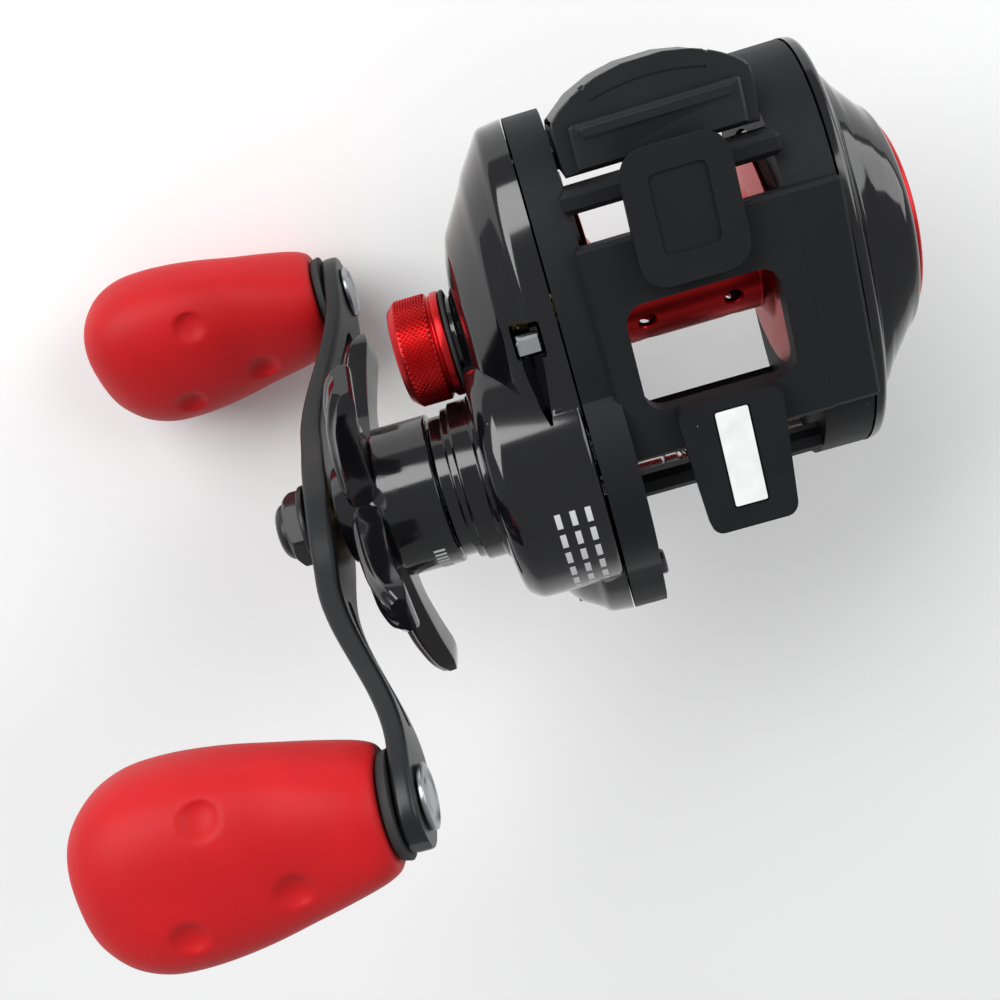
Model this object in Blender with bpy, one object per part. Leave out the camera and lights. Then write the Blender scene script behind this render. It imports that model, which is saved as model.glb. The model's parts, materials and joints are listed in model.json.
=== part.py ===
"""Low-profile baitcasting reel, handle on the left, built as an assembly.

Frame of reference: the reel lies foot up.  The origin is on the seating face of the rear
foot wing, in the reel's line of pull.  +Z points out of that face, +X to the palm side and
+Y to the rear (thumb bar).

Positions below are millimetres from the middle of the foot; make() moves them to the origin,
which is ORIGIN_Y behind it, and MM turns them into metres.
"""

from math import atan2, cos, pi, radians, sin

import bmesh
import bpy

MM = 0.001
ORIGIN_Y = 11.4

# ---------------------------------------------------------------- driving dimensions
SPOOL = (5.0, -23.5)            # spool axis (y, z)
DRIVE = (-14.9, -19.3)          # handle and drive gear axis (y, z)
WORM = (-23.18, -23.75)         # level-wind shaft axis (y, z)
GUIDE_ROD = (-19.6, -30.6)      # rod that keeps the line guide upright (y, z)

GEAR_MODULE = 0.55              # main gear pair
DRIVE_TEETH = 64
PINION_TEETH = 10
WIND_MODULE = 0.4               # level-wind gear pair
WIND_DRIVE_TEETH = 25
WIND_WORM_TEETH = 22

FOOT_HALF_WIDTH = 7.1
FOOT_REAR = (9.5, 26.8)         # y range of the rear wing
FOOT_FRONT = (-25.2, -6.6)      # y range of the front wing
PLATE_X = (-18.4, -13.4)        # handle-side plate of the frame
RING_X = (13.4, 20.2)           # palm-side ring of the frame

SPOOL_RADIUS = 16.5
SPOOL_HALF = 12.6
DRUM_RADIUS = 7.4

BULGE_RADIUS = 19.6             # gear housing around the drive axis
HANDLE_REACH = 46.9             # drive axis to knob axis
HANDLE_ANGLE = 1.012            # handle tilt: front knob towards the foot
STAR_RADIUS = 27.3
STAR_TURN = 0.412
KNOB_LENGTH = 41.3
KNOB_RADIUS = 13.8
KNOB_BASE = -55.7
KNOB_FLATTENING = 0.27          # share by which a knob is thinner than it is wide
KNOB_FACING = {"front": 0.16, "rear": -0.45}    # from +Z to +Y, radians

# ---------------------------------------------------------------- colours
# name: (colour, roughness, metallic)
LOOKS = {
    "black_frame": ((0.012, 0.012, 0.013, 1), 0.55, 0.0),
    "black_gloss": ((0.006, 0.006, 0.007, 1), 0.08, 0.0),
    "black_satin": ((0.012, 0.012, 0.012, 1), 0.35, 0.3),
    "red_rubber": ((0.72, 0.015, 0.02, 1), 0.55, 0.0),
    "red_metal": ((0.55, 0.01, 0.012, 1), 0.28, 1.0),
    "brass": ((0.72, 0.48, 0.16, 1), 0.3, 1.0),
    "steel": ((0.55, 0.56, 0.58, 1), 0.28, 1.0),
    "dark_steel": ((0.12, 0.12, 0.13, 1), 0.35, 1.0),
    "carbon": ((0.03, 0.03, 0.03, 1), 0.6, 0.0),
    "white_label": ((0.85, 0.85, 0.85, 1), 0.5, 0.0),
    "ceramic": ((0.05, 0.05, 0.055, 1), 0.15, 0.0),
    "rubber": ((0.02, 0.02, 0.02, 1), 0.8, 0.0),
    "nylon": ((0.75, 0.74, 0.7, 1), 0.5, 0.0),
}


# ---------------------------------------------------------------- mesh helpers
def clear_scene():
    for old in list(bpy.data.objects):
        bpy.data.objects.remove(old, do_unlink=True)


def make(verts, faces, name="piece"):
    """Mesh object from millimetre points, with outward faces."""
    mesh = bpy.data.meshes.new(name)
    mesh.from_pydata([(x * MM, (y - ORIGIN_Y) * MM, z * MM) for x, y, z in verts], [], faces)
    tidy(mesh, outward=True)
    obj = bpy.data.objects.new(name, mesh)
    bpy.context.collection.objects.link(obj)
    return obj


def tidy(mesh, outward=False):
    bm = bmesh.new()
    bm.from_mesh(mesh)
    bmesh.ops.remove_doubles(bm, verts=bm.verts, dist=2e-6)
    bmesh.ops.dissolve_degenerate(bm, edges=bm.edges, dist=2e-6)
    if outward:
        bmesh.ops.recalc_face_normals(bm, faces=bm.faces)
    bm.to_mesh(mesh)
    bm.free()


def loft(rings, name="loft"):
    """Skin over rings of equal length, both ends capped."""
    count = len(rings[0])
    verts = [point for ring in rings for point in ring]
    faces = [tuple(range(count)), tuple(range(len(verts) - count, len(verts)))]
    for level in range(len(rings) - 1):
        for i in range(count):
            j = (i + 1) % count
            a, b = level * count, (level + 1) * count
            faces.append((a + i, a + j, b + j, b + i))
    return make(verts, faces, name)


def prism_x(outline, x0, x1):
    """Outline of (y, z) points pushed along X."""
    return loft([[(x, y, z) for y, z in outline] for x in (x0, x1)])


def slab_z(outline, top, bottom):
    """Outline of (x, y) points; bottom is a number or a function of y."""
    lower = bottom if callable(bottom) else lambda y: bottom
    return loft([[(x, y, top) for x, y in outline], [(x, y, lower(y)) for x, y in outline]])


def turned(profile, axis, steps=32, turn=0.0):
    """Closed profile of (x, radius) points turned around an axis parallel to X."""
    verts, rings = [], []
    for x, radius in profile:
        count = steps if radius > 1e-6 else 1
        rings.append(list(range(len(verts), len(verts) + count)))
        for i in range(count):
            angle = 2 * pi * i / steps + turn
            verts.append((x, axis[0] + radius * sin(angle), axis[1] + radius * cos(angle)))
    faces = []
    for a, b in zip(rings, rings[1:] + rings[:1]):
        if len(a) == 1 and len(b) == 1:
            continue
        for i in range(steps):
            j = (i + 1) % steps
            if len(a) == 1:
                faces.append((a[0], b[i], b[j]))
            elif len(b) == 1:
                faces.append((a[i], b[0], a[j]))
            else:
                faces.append((a[i], b[i], b[j], a[j]))
    return make(verts, faces)


def tube(x0, x1, inner, outer, axis, steps=32):
    """Plain ring, or a solid disc when the inner radius is zero."""
    return turned([(x0, inner), (x0, outer), (x1, outer), (x1, inner)], axis, steps)


def rod(start, end, radius, steps=16):
    """Solid cylinder between two points."""
    axis = [b - a for a, b in zip(start, end)]
    length = sum(c * c for c in axis) ** 0.5
    axis = [c / length for c in axis]
    helper = (1, 0, 0) if abs(axis[0]) < 0.9 else (0, 1, 0)
    side = cross(axis, helper)
    size = sum(c * c for c in side) ** 0.5
    side = [c / size for c in side]
    other = cross(axis, side)
    rings = []
    for centre in (start, end):
        ring = []
        for i in range(steps):
            angle = 2 * pi * i / steps
            ring.append(tuple(centre[k] + radius * (cos(angle) * side[k] + sin(angle) * other[k])
                              for k in range(3)))
        rings.append(ring)
    return loft(rings)


def cross(a, b):
    return (a[1] * b[2] - a[2] * b[1], a[2] * b[0] - a[0] * b[2], a[0] * b[1] - a[1] * b[0])


def box(low, high, chamfer=0.0):
    x0, y0, z0 = low
    x1, y1, z1 = high
    corners = [(x0, y0), (x1, y0), (x1, y1), (x0, y1)]
    obj = loft([[(x, y, z) for x, y in corners] for z in (z0, z1)])
    if chamfer:
        bm = bmesh.new()
        bm.from_mesh(obj.data)
        bmesh.ops.bevel(bm, geom=bm.edges, offset=chamfer * MM, segments=1, affect="EDGES")
        bm.to_mesh(obj.data)
        bm.free()
    return obj


def ball(centre, radius, steps=12):
    rings = []
    for k in range(1, steps // 2):
        polar = pi * k / (steps // 2)
        rings.append([(centre[0] + radius * cos(polar),
                       centre[1] + radius * sin(polar) * cos(2 * pi * i / steps),
                       centre[2] + radius * sin(polar) * sin(2 * pi * i / steps))
                      for i in range(steps)])
    return loft(rings)


def coil(centre, x0, x1, radius, wire, turns, steps=9, sides=4):
    """Compression spring along X."""
    total = turns * steps
    rings = []
    for i in range(total + 1):
        angle = 2 * pi * i / steps
        x = x0 + (x1 - x0) * i / total
        ring = []
        for k in range(sides):
            around = 2 * pi * k / sides
            reach = radius + wire * cos(around)
            ring.append((x + wire * sin(around), centre[0] + reach * cos(angle),
                         centre[1] + reach * sin(angle)))
        rings.append(ring)
    return loft(rings)


def combine(base, other, operation):
    """Boolean of two closed pieces; the second one is used up."""
    modifier = base.modifiers.new("combine", "BOOLEAN")
    modifier.operation = operation
    modifier.object = other
    modifier.solver = "EXACT"
    graph = bpy.context.evaluated_depsgraph_get()
    result = bpy.data.meshes.new_from_object(base.evaluated_get(graph))
    base.modifiers.clear()
    base.data = result
    bpy.data.objects.remove(other, do_unlink=True)
    tidy(base.data)
    return base


def join(base, *others):
    for other in others:
        combine(base, other, "UNION")
    return base


def cut(base, *others):
    for other in others:
        combine(base, other, "DIFFERENCE")
    return base


def finish(obj, name, look, pivot=(0.0, ORIGIN_Y, 0.0)):
    """Name the piece, colour it and put its origin on its pivot."""
    pivot = (pivot[0], pivot[1] - ORIGIN_Y, pivot[2])
    obj.name = name
    obj.data.name = name
    bm = bmesh.new()
    bm.from_mesh(obj.data)
    for vert in bm.verts:
        for k in range(3):
            vert.co[k] -= pivot[k] * MM
    bm.to_mesh(obj.data)
    bm.free()
    obj.location = [c * MM for c in pivot]
    obj.data.materials.clear()
    obj.data.materials.append(material(look))
    obj.data.shade_smooth()
    obj.data.set_sharp_from_angle(angle=radians(32))
    return obj


def material(look):
    if look in bpy.data.materials:
        return bpy.data.materials[look]
    colour, roughness, metallic = LOOKS[look]
    mat = bpy.data.materials.new(look)
    mat.use_nodes = True
    shader = mat.node_tree.nodes["Principled BSDF"]
    shader.inputs["Base Color"].default_value = colour
    shader.inputs["Roughness"].default_value = roughness
    shader.inputs["Metallic"].default_value = metallic
    mat.diffuse_color = colour
    return mat


def on_axis(x, axis):
    """Pivot point on an axis parallel to X."""
    return (x, axis[0], axis[1])


# ---------------------------------------------------------------- outlines
def plate_outline(rear, front, top, bottom, rear_z, front_z, middle=1.0, inset=0.0, count=36):
    """Closed side-plate outline in (y, z): four rounded quarters meeting at its extremes."""
    rear, front = rear - inset, front + inset
    top, bottom = top - inset, bottom + inset
    points = []
    for i in range(count):
        angle = 2 * pi * i / count
        across, along = cos(angle), sin(angle)
        reach = rear - middle if across >= 0 else middle - front
        centre = rear_z if across >= 0 else front_z
        height = top - centre if along >= 0 else centre - bottom
        power = 2.0 / (2.2 if across >= 0 else 2.4)
        y = middle + reach * abs(across) ** power * (1 if across >= 0 else -1)
        z = centre + height * abs(along) ** power * (1 if along >= 0 else -1)
        points.append((y, z))
    return points


def handle_outline(inset=0.0, rear=33.0, front=-44.0, top=-3.5, bottom=-44.5):
    return plate_outline(rear, front, top, bottom, -23.0, -28.0, inset=inset)


def palm_outline(inset=0.0, rear=32.5, front=-27.0, top=-4.0, bottom=-44.0):
    return plate_outline(rear, front, top, bottom, -24.0, -30.0, inset=inset)


def circle(axis, radius, count=36):
    """Circle in (y, z) starting where plate_outline starts."""
    return [(axis[0] + radius * cos(2 * pi * i / count), axis[1] + radius * sin(2 * pi * i / count))
            for i in range(count)]


def blend(first, second, share):
    return [(a[0] + (b[0] - a[0]) * share, a[1] + (b[1] - a[1]) * share)
            for a, b in zip(first, second)]


def rounded(x0, x1, y0, y1, radius, steps=4):
    """Rounded rectangle in the plan view."""
    points = []
    corners = ((x1 - radius, y1 - radius, 0), (x0 + radius, y1 - radius, 1),
               (x0 + radius, y0 + radius, 2), (x1 - radius, y0 + radius, 3))
    for cx, cy, quarter in corners:
        for i in range(steps + 1):
            angle = (quarter + i / steps) * pi / 2
            points.append((cx + radius * cos(angle), cy + radius * sin(angle)))
    return points


def gear_outline(teeth, module, axis, first_tooth):
    """Straight-sided teeth; the first tooth points along first_tooth (radians from +Z to +Y)."""
    pitch = teeth * module / 2
    tip, root = pitch + 0.8 * module, pitch - 1.1 * module
    half = pi / teeth
    points = []
    for i in range(teeth):
        middle = first_tooth + 2 * half * i
        for radius, share in ((root, -0.62), (tip, -0.24), (tip, 0.24), (root, 0.62)):
            angle = middle + half * share
            points.append((axis[0] + radius * sin(angle), axis[1] + radius * cos(angle)))
    return points


# ---------------------------------------------------------------- frame and foot
def build_frame():
    plate = prism_x(handle_outline(), *PLATE_X)
    join(plate, tube(PLATE_X[0] + 0.01, PLATE_X[1] - 0.01, 0, BULGE_RADIUS, DRIVE, 36))
    pocket = prism_x(handle_outline(inset=2.4), -19.0, -15.2)
    cut(plate, pocket)
    cut(plate, tube(-19.5, -15.19, 0, 18.6, DRIVE, 32))
    join(plate, tube(-18.2, -14.6, 0, 6.5, SPOOL, 24))
    join(plate, tube(-18.0, -14.6, 0, 4.2, DRIVE, 20))
    for z in (-9.0, 9.0):
        join(plate, rod((-28.6, SPOOL[0], SPOOL[1] + z), (-14.6, SPOOL[0], SPOOL[1] + z), 0.9, 10))

    ring = prism_x(palm_outline(), *RING_X)
    bridge = box((-14.2, -13.2, -6.0), (14.2, 16.6, -2.8), 0.5)
    pad = box((10.5, -13.1, -5.9), (RING_X[1] - 0.05, 16.5, -2.9), 0.5)
    bar = box((-14.2, 20.6, -12.0), (14.2, 23.6, -4.9), 0.7)
    hood = box((-14.2, -22.6, -16.6), (14.2, -19.2, -12.6), 0.9)
    frame = join(bridge, plate, ring, pad, bar, hood, build_deck())

    cut(frame, slab_z(rounded(-10.2, 10.2, -6.9, 7.8, 2.6), 1.0, -12.0))
    cut(frame, tube(13.0, 21.0, 0, 17.35, SPOOL, 40))
    cut(frame, tube(-18.5, -15.6, 0, 5.3, SPOOL, 24))
    cut(frame, tube(-16.0, -13.0, 0, 3.6, SPOOL, 20))
    cut(frame, tube(-18.5, -13.9, 0, 2.4, DRIVE, 16))
    cut(frame, tube(-19.0, -13.0, 0, 1.85, WORM, 12))
    cut(frame, tube(13.0, 17.2, 0, 1.6, WORM, 12))
    cut(frame, tube(-19.0, -13.0, 0, 1.3, GUIDE_ROD, 12))
    cut(frame, tube(13.0, 17.2, 0, 1.3, GUIDE_ROD, 12))
    cut(frame, box((-19.0, 24.2, -23.6), (-13.0, 27.9, -14.0)))
    for y, z in COVER_SCREWS:
        cut(frame, tube(-19.0, -13.0, 0, 1.4, (y, z), 8))
    for y, z in PALM_SCREWS:
        cut(frame, tube(16.0, 21.0, 0, 1.4, (y, z), 8))

    wings = [wing(FOOT_REAR, 1), wing(FOOT_FRONT, -1)]
    stems = [box((-5.6, 9.9, -3.4), (5.6, 16.2, -1.2), 0.3),
             box((-5.6, -12.8, -3.4), (5.6, -7.3, -1.2), 0.3)]
    join(frame, *stems)
    join(frame, *wings)
    cut(frame, slab_z(rounded(-3.7, 3.7, 13.4, 23.6, 0.9, 2), 0.5, -0.35))
    cut(frame, slab_z(rounded(-2.45, 2.45, -22.2, -8.0, 0.5, 2), 0.5, -0.4))
    finish(frame, "frame", "black_frame")

    label = slab_z(rounded(-2.2, 2.2, -21.9, -8.3, 0.25, 2), 0.0, -0.3)
    finish(label, "foot_label", "white_label")


def wing(span, side):
    """One foot wing: flat seating face on top, thinner towards its tip."""
    near, far = (span[0], span[1]) if side > 0 else (span[1], span[0])
    narrowing = 0.03 if side > 0 else 0.17

    def width(y):
        return 1.0 - narrowing * (y - near) / (far - near)

    outline = rounded(-FOOT_HALF_WIDTH, FOOT_HALF_WIDTH, span[0], span[1], 3.4 if side > 0 else 1.8)
    outline = [(x * width(y), y) for x, y in outline]
    return slab_z(outline, 0.0, lambda y: -2.6 + 1.1 * (y - near) / (far - near))


def build_deck():
    """Curved cross member on the side away from the foot, ahead of the spool."""
    outer = [p for p in palm_outline(inset=0.3) if -25.2 < p[0] < -17.0 and p[1] < -32.0]
    outer.sort()
    inner = [(y + 0.9, z + 1.4) for y, z in outer]
    return prism_x(outer + inner[::-1], -14.2, 14.2)


# ---------------------------------------------------------------- handle-side cover
def cover_sections(inset):
    """Rings of the handle-side cover from the seam outwards."""
    steps = ((-18.7, 33.0, -44.0, -3.5, -44.5), (-22.0, 32.2, -43.4, -4.0, -44.0),
             (-25.6, 27.6, -41.2, -5.6, -42.6), (-28.6, 22.6, -38.4, -8.2, -40.2),
             (-30.9, 17.4, -34.4, -12.0, -36.6), (-32.2, 11.5, -28.5, -16.2, -32.0))
    rings = []
    for x, rear, front, top, bottom in steps:
        outline = handle_outline(inset, rear, front, top, bottom)
        rings.append([(x, y, z) for y, z in outline])
    return rings


COVER_SCREWS = ((-37.6, -22.5), (20.5, -37.4), (-3.0, -41.5))
PALM_SCREWS = ((-22.6, -36.4), (26.0, -31.0))


def build_gear_cover():
    cover = loft(cover_sections(0.0))
    bulge = turned([(-18.75, 0), (-18.75, BULGE_RADIUS), (-31.4, BULGE_RADIUS),
                    (-33.0, BULGE_RADIUS - 1.4), (-33.4, BULGE_RADIUS - 3.6), (-33.4, 0)], DRIVE, 36)
    boss = turned([(-30.0, 0), (-30.0, 13.4), (-34.2, 12.6), (-34.4, 12.0), (-37.2, 12.0),
                   (-37.35, 11.4), (-38.4, 11.4), (-38.5, 10.6), (-40.4, 10.6), (-40.4, 0)],
                  DRIVE, 28)
    neck = turned([(-28.0, 0), (-28.0, 9.6), (-31.4, 8.6), (-32.2, 7.4), (-32.3, 6.5),
                   (-38.9, 6.5), (-38.9, 0)], SPOOL, 22)
    join(cover, bulge, boss, neck)
    cut(cover, tube(-41.0, -32.85, 6.53, 8.3, SPOOL, 24))

    inner = [ring for ring in cover_sections(1.8)]
    inner[0] = [(-17.0, y, z) for _, y, z in inner[0]]
    cut(cover, loft([[(x + (1.6 if x < -28 else 0.6), y, z) for x, y, z in ring] for ring in inner]))
    cut(cover, turned([(-17.0, 0), (-17.0, 18.55), (-31.3, 18.55), (-32.0, 17.4), (-32.0, 0)],
                      DRIVE, 32))
    cut(cover, tube(-31.0, -41.0, 0, 9.1, DRIVE, 24))
    cut(cover, tube(-26.0, -39.5, 0, 4.7, SPOOL, 20))
    cut(cover, box((-25.0, 4.3, -9.5), (-21.0, 9.2, -2.0), 0.0))
    for (y, z), reach in zip(COVER_SCREWS, (-26.5, -24.4, -24.8)):
        join(cover, tube(-18.8, reach, 0, 2.7, (y, z), 10))
        cut(cover, tube(-18.0, reach + 1.2, 0, 1.4, (y, z), 8))
    finish(cover, "gear_side_cover", "black_gloss")

    latch = box((-24.6, 4.7, -6.6), (-21.4, 6.8, -5.3), 0.2)
    join(latch, rod((-24.4, 6.9, -5.9), (-21.6, 6.9, -5.9), 0.7, 10))
    finish(latch, "side_port_latch", "steel", (-23.0, 6.2, -5.9))

    for number, (y, z) in enumerate(COVER_SCREWS, 1):
        screw = turned([(-21.6, 0), (-21.6, 1.1), (-13.1, 1.1), (-13.1, 2.0), (-12.2, 2.0),
                        (-11.9, 1.7), (-11.9, 0)], (y, z), 10)
        cut(screw, tube(-12.7, -11.0, 0, 0.9, (y, z), 6))
        finish(screw, "cover_screw_%d" % number, "dark_steel", (-13.1, y, z))


# ---------------------------------------------------------------- palm side
def build_palm_side():
    plain = palm_outline()
    sections = [(20.5, plain), (21.9, palm_outline(0.2)), (22.7, palm_outline(2.0)),
                (24.4, blend(palm_outline(3.0), circle(SPOOL, 17.5), 0.35)),
                (26.6, blend(palm_outline(3.4), circle(SPOOL, 17.0), 0.72)),
                (28.6, circle(SPOOL, 16.6)), (29.6, circle(SPOOL, 15.6))]
    cover = loft([[(x, y, z) for y, z in outline] for x, outline in sections])
    join(cover, tube(13.9, 21.5, 0, 16.9, SPOOL, 40))
    cut(cover, turned([(15.3, 6.3), (15.3, 15.5), (25.6, 15.5), (27.6, 14.2), (27.6, 0),
                       (20.0, 0), (20.0, 6.3)], SPOOL, 28))
    cut(cover, tube(13.0, 17.0, 0, 3.2, SPOOL, 24))
    cut(cover, tube(16.6, 20.5, 0, 4.75, SPOOL, 24))
    cut(cover, tube(27.0, 30.5, 0, 2.3, SPOOL, 16))
    cut(cover, tube(28.7, 30.5, 12.5, 14.3, SPOOL, 32))
    for y, z in PALM_SCREWS:
        cut(cover, tube(20.0, 21.9, 0, 1.4, (y, z), 8))
    finish(cover, "palm_side_cover", "black_gloss")

    for number, (y, z) in enumerate(PALM_SCREWS, 1):
        pin = turned([(16.4, 0), (16.4, 0.8), (16.9, 1.1), (21.6, 1.1), (21.6, 0)], (y, z), 8)
        finish(pin, "palm_cover_pin_%d" % number, "dark_steel", (18.0, y, z))

    ring = turned([(29.0, 12.8), (29.0, 14.0), (30.3, 14.0), (30.6, 13.7), (30.6, 13.1),
                   (30.3, 12.8)], SPOOL, 32)
    finish(ring, "palm_trim_ring", "red_metal")

    dial = turned([(24.6, 0), (24.6, 2.0), (29.9, 2.0), (29.9, 12.1), (30.7, 12.1), (31.0, 11.7),
                   (30.7, 8.0), (30.7, 0)], SPOOL, 28)
    join(dial, box((30.2, -3.6 + SPOOL[0], -1.5 + SPOOL[1]), (31.6, 3.6 + SPOOL[0], 1.5 + SPOOL[1]),
                   0.3))
    finish(dial, "brake_dial", "black_gloss", on_axis(30.0, SPOOL))

    plate = tube(17.4, 18.6, 6.9, 14.8, SPOOL, 28)
    for i in range(6):
        angle = pi / 3 * i
        y, z = SPOOL[0] + 11.0 * sin(angle), SPOOL[1] + 11.0 * cos(angle)
        join(plate, tube(15.7, 17.8, 0, 2.2, (y, z), 8))
    finish(plate, "magnet_brake_plate", "steel", on_axis(18.0, SPOOL))


# ---------------------------------------------------------------- spool group
def build_spool():
    profile = [(-SPOOL_HALF, SPOOL_RADIUS), (-11.95, SPOOL_RADIUS), (-11.5, 9.4), (-10.6, DRUM_RADIUS),
               (10.6, DRUM_RADIUS), (11.5, 9.4), (11.95, SPOOL_RADIUS), (SPOOL_HALF, SPOOL_RADIUS),
               (12.1, 9.6), (10.9, 6.5), (2.0, 6.3), (2.0, 1.5), (-2.0, 1.5), (-2.0, 6.3),
               (-10.9, 6.5), (-12.1, 9.6)]
    spool = turned(profile, SPOOL, 32)
    for side in (-6.2, 6.2):
        for i in range(4):
            angle = pi / 2 * i + (0.3 if side < 0 else 1.08)
            far = 9.0
            start = (side, SPOOL[0] + 4.6 * sin(angle), SPOOL[1] + 4.6 * cos(angle))
            end = (side, SPOOL[0] + far * sin(angle), SPOOL[1] + far * cos(angle))
            cut(spool, rod(start, end, 1.15, 6))
    finish(spool, "spool", "red_metal", on_axis(0.0, SPOOL))

    shaft = turned([(-38.7, 0), (-38.7, 0.9), (-38.3, 1.25), (22.6, 1.25), (23.2, 0.9), (23.2, 0)],
                   SPOOL, 20)
    finish(shaft, "spool_shaft", "steel", on_axis(0.0, SPOOL))
    finish(tube(-38.5, -36.0, 1.5, 4.45, SPOOL, 24), "spool_bearing_cap_side", "steel",
           on_axis(-37.3, SPOOL))
    finish(tube(17.2, 19.8, 1.5, 4.5, SPOOL, 24), "spool_bearing_palm_side", "steel",
           on_axis(18.5, SPOOL))
    finish(tube(-18.1, -15.9, 3.05, 5.05, SPOOL, 28), "pinion_bearing", "steel",
           on_axis(-17.0, SPOOL))

    cap = turned([(-33.9, 6.8), (-33.9, 7.7), (-35.2, 7.7), (-35.5, 7.5), (-35.8, 8.1), (-40.6, 7.9),
                  (-41.7, 6.9), (-41.7, 0), (-39.5, 0), (-39.5, 6.8)], SPOOL, 28)
    finish(cap, "cast_control_cap", "red_metal", on_axis(-37.0, SPOOL))
    finish(tube(-39.4, -39.0, 0, 3.9, SPOOL, 20), "cast_control_shim", "nylon",
           on_axis(-39.2, SPOOL))
    ring = turned([(-33.75, 6.8), (-33.75, 7.4), (-33.5, 7.7), (-33.3, 7.7), (-33.1, 7.4),
                   (-33.1, 6.8)], SPOOL, 20)
    finish(ring, "cap_o_ring", "rubber")


# ---------------------------------------------------------------- drive group
def mesh_angle(axis, other):
    """Direction from one axis to another, in radians from +Z to +Y."""
    return atan2(other[0] - axis[0], other[1] - axis[1])


def build_drive():
    shaft = turned([(-64.4, 0), (-64.4, 2.0), (-64.0, 2.3), (-61.0, 2.3), (-61.0, 2.8),
                    (-31.6, 2.8), (-31.6, 3.0), (-26.7, 3.0), (-26.7, 5.6), (-25.9, 5.6),
                    (-25.9, 2.8), (-18.4, 2.8), (-18.4, 2.1), (-14.3, 2.1), (-14.3, 0)], DRIVE, 18)
    finish(shaft, "drive_shaft", "steel", on_axis(-30.0, DRIVE))

    towards = mesh_angle(DRIVE, SPOOL)
    gear = prism_x(gear_outline(DRIVE_TEETH, GEAR_MODULE, DRIVE, towards), -30.5, -27.0)
    cut(gear, tube(-31.0, -28.3, 0, 12.7, DRIVE, 40), tube(-32.0, -26.0, 0, 3.3, DRIVE, 20))
    finish(gear, "drive_gear", "brass", on_axis(-29.0, DRIVE))

    back = mesh_angle(SPOOL, DRIVE) + pi / PINION_TEETH
    pinion = prism_x(gear_outline(PINION_TEETH, GEAR_MODULE, SPOOL, back), -31.0, -25.0)
    join(pinion, turned([(-25.4, 0), (-25.4, 3.9), (-24.0, 3.9), (-24.0, 2.5), (-20.9, 2.5),
                         (-20.9, 3.9), (-20.0, 3.9), (-20.0, 2.75), (-15.0, 2.75), (-15.0, 0)],
                        SPOOL, 24))
    cut(pinion, tube(-32.0, -14.0, 0, 1.55, SPOOL, 16))
    finish(pinion, "pinion_gear", "brass", on_axis(-25.0, SPOOL))

    stack = (("drag_washer_inner", -28.6, 4.0, 12.3, "carbon"),
             ("drag_plate_inner", -29.2, 3.4, 12.1, "steel"),
             ("drag_washer_outer", -29.8, 4.0, 12.3, "carbon"),
             ("drag_pressure_plate", -30.5, 3.4, 12.1, "steel"))
    for name, x, inner, outer, look in stack:
        finish(tube(x - 0.4, x, inner, outer, DRIVE, 24), name, look, on_axis(x, DRIVE))
    finish(tube(-46.0, -31.2, 3.15, 4.3, DRIVE, 24), "drag_sleeve", "steel", on_axis(-38.0, DRIVE))
    finish(tube(-40.1, -32.5, 4.6, 8.8, DRIVE, 32), "one_way_bearing", "dark_steel",
           on_axis(-36.0, DRIVE))

    ratchet = []
    for i in range(8):
        base = 2 * pi * i / 8
        for radius, share in ((9.0, 0.0), (9.0, 0.12), (6.6, 0.3), (7.4, 0.7)):
            angle = base + 2 * pi / 8 * share
            ratchet.append((DRIVE[0] + radius * sin(angle), DRIVE[1] + radius * cos(angle)))
    wheel = prism_x(ratchet, -25.6, -24.3)
    cut(wheel, tube(-27.0, -23.0, 0, 3.05, DRIVE, 20))
    finish(wheel, "ratchet_wheel", "steel", on_axis(-25.0, DRIVE))

    wind = prism_x(gear_outline(WIND_DRIVE_TEETH, WIND_MODULE, DRIVE, mesh_angle(DRIVE, WORM)),
                   -22.2, -20.4)
    cut(wind, tube(-23.0, -19.0, 0, 3.05, DRIVE, 20))
    finish(wind, "level_wind_drive_gear", "nylon", on_axis(-21.3, DRIVE))


def build_star():
    """Star drag: dial tube, plate and five arms that bend towards the body."""
    star = turned([(-40.75, 9.2), (-40.75, 11.1), (-41.0, 11.3), (-49.4, 11.3), (-51.6, 9.6),
                   (-53.2, 7.4), (-53.2, 3.1), (-49.4, 3.1), (-49.4, 9.2)], DRIVE, 32)
    for i in range(5):
        join(star, star_arm(STAR_TURN + radians(36 + 72 * i)))
    finish(star, "star_drag", "black_gloss", on_axis(-47.0, DRIVE))


def star_arm(angle):
    """radius, outer x, inner x, half width along the arm"""
    steps = ((7.0, -52.6, -49.9, 5.2), (11.0, -52.9, -49.8, 4.6), (15.5, -52.6, -49.9, 3.2),
             (21.6, -51.4, -48.2, 3.9), (25.2, -50.0, -46.9, 4.5), (STAR_RADIUS, -48.9, -47.0, 3.2))
    out = (sin(angle), cos(angle))
    side = (cos(angle), -sin(angle))
    rings = []
    for radius, x_out, x_in, half in steps:
        ring = []
        chamfer = 0.9
        corners = ((x_out, half - chamfer), (x_out + chamfer, half), (x_in, half),
                   (x_in, -half), (x_out + chamfer, -half), (x_out, chamfer - half))
        for x, across in corners:
            ring.append((x, DRIVE[0] + out[0] * radius + side[0] * across,
                         DRIVE[1] + out[1] * radius + side[1] * across))
        rings.append(ring)
    return loft(rings)


# ---------------------------------------------------------------- handle group
def along_handle(reach, across=0.0):
    """(y, z) at a signed distance along the handle; positive is the front knob."""
    y = DRIVE[0] - reach * cos(HANDLE_ANGLE) + across * sin(HANDLE_ANGLE)
    z = DRIVE[1] + reach * sin(HANDLE_ANGLE) + across * cos(HANDLE_ANGLE)
    return y, z


def handle_depth(reach):
    """Outer face of the arm: flat in the middle, swept inwards at both ends."""
    share = min(max((abs(reach) - 13.0) / 29.0, 0.0), 1.0)
    return -61.0 + 7.2 * share * share * (3 - 2 * share)


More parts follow.
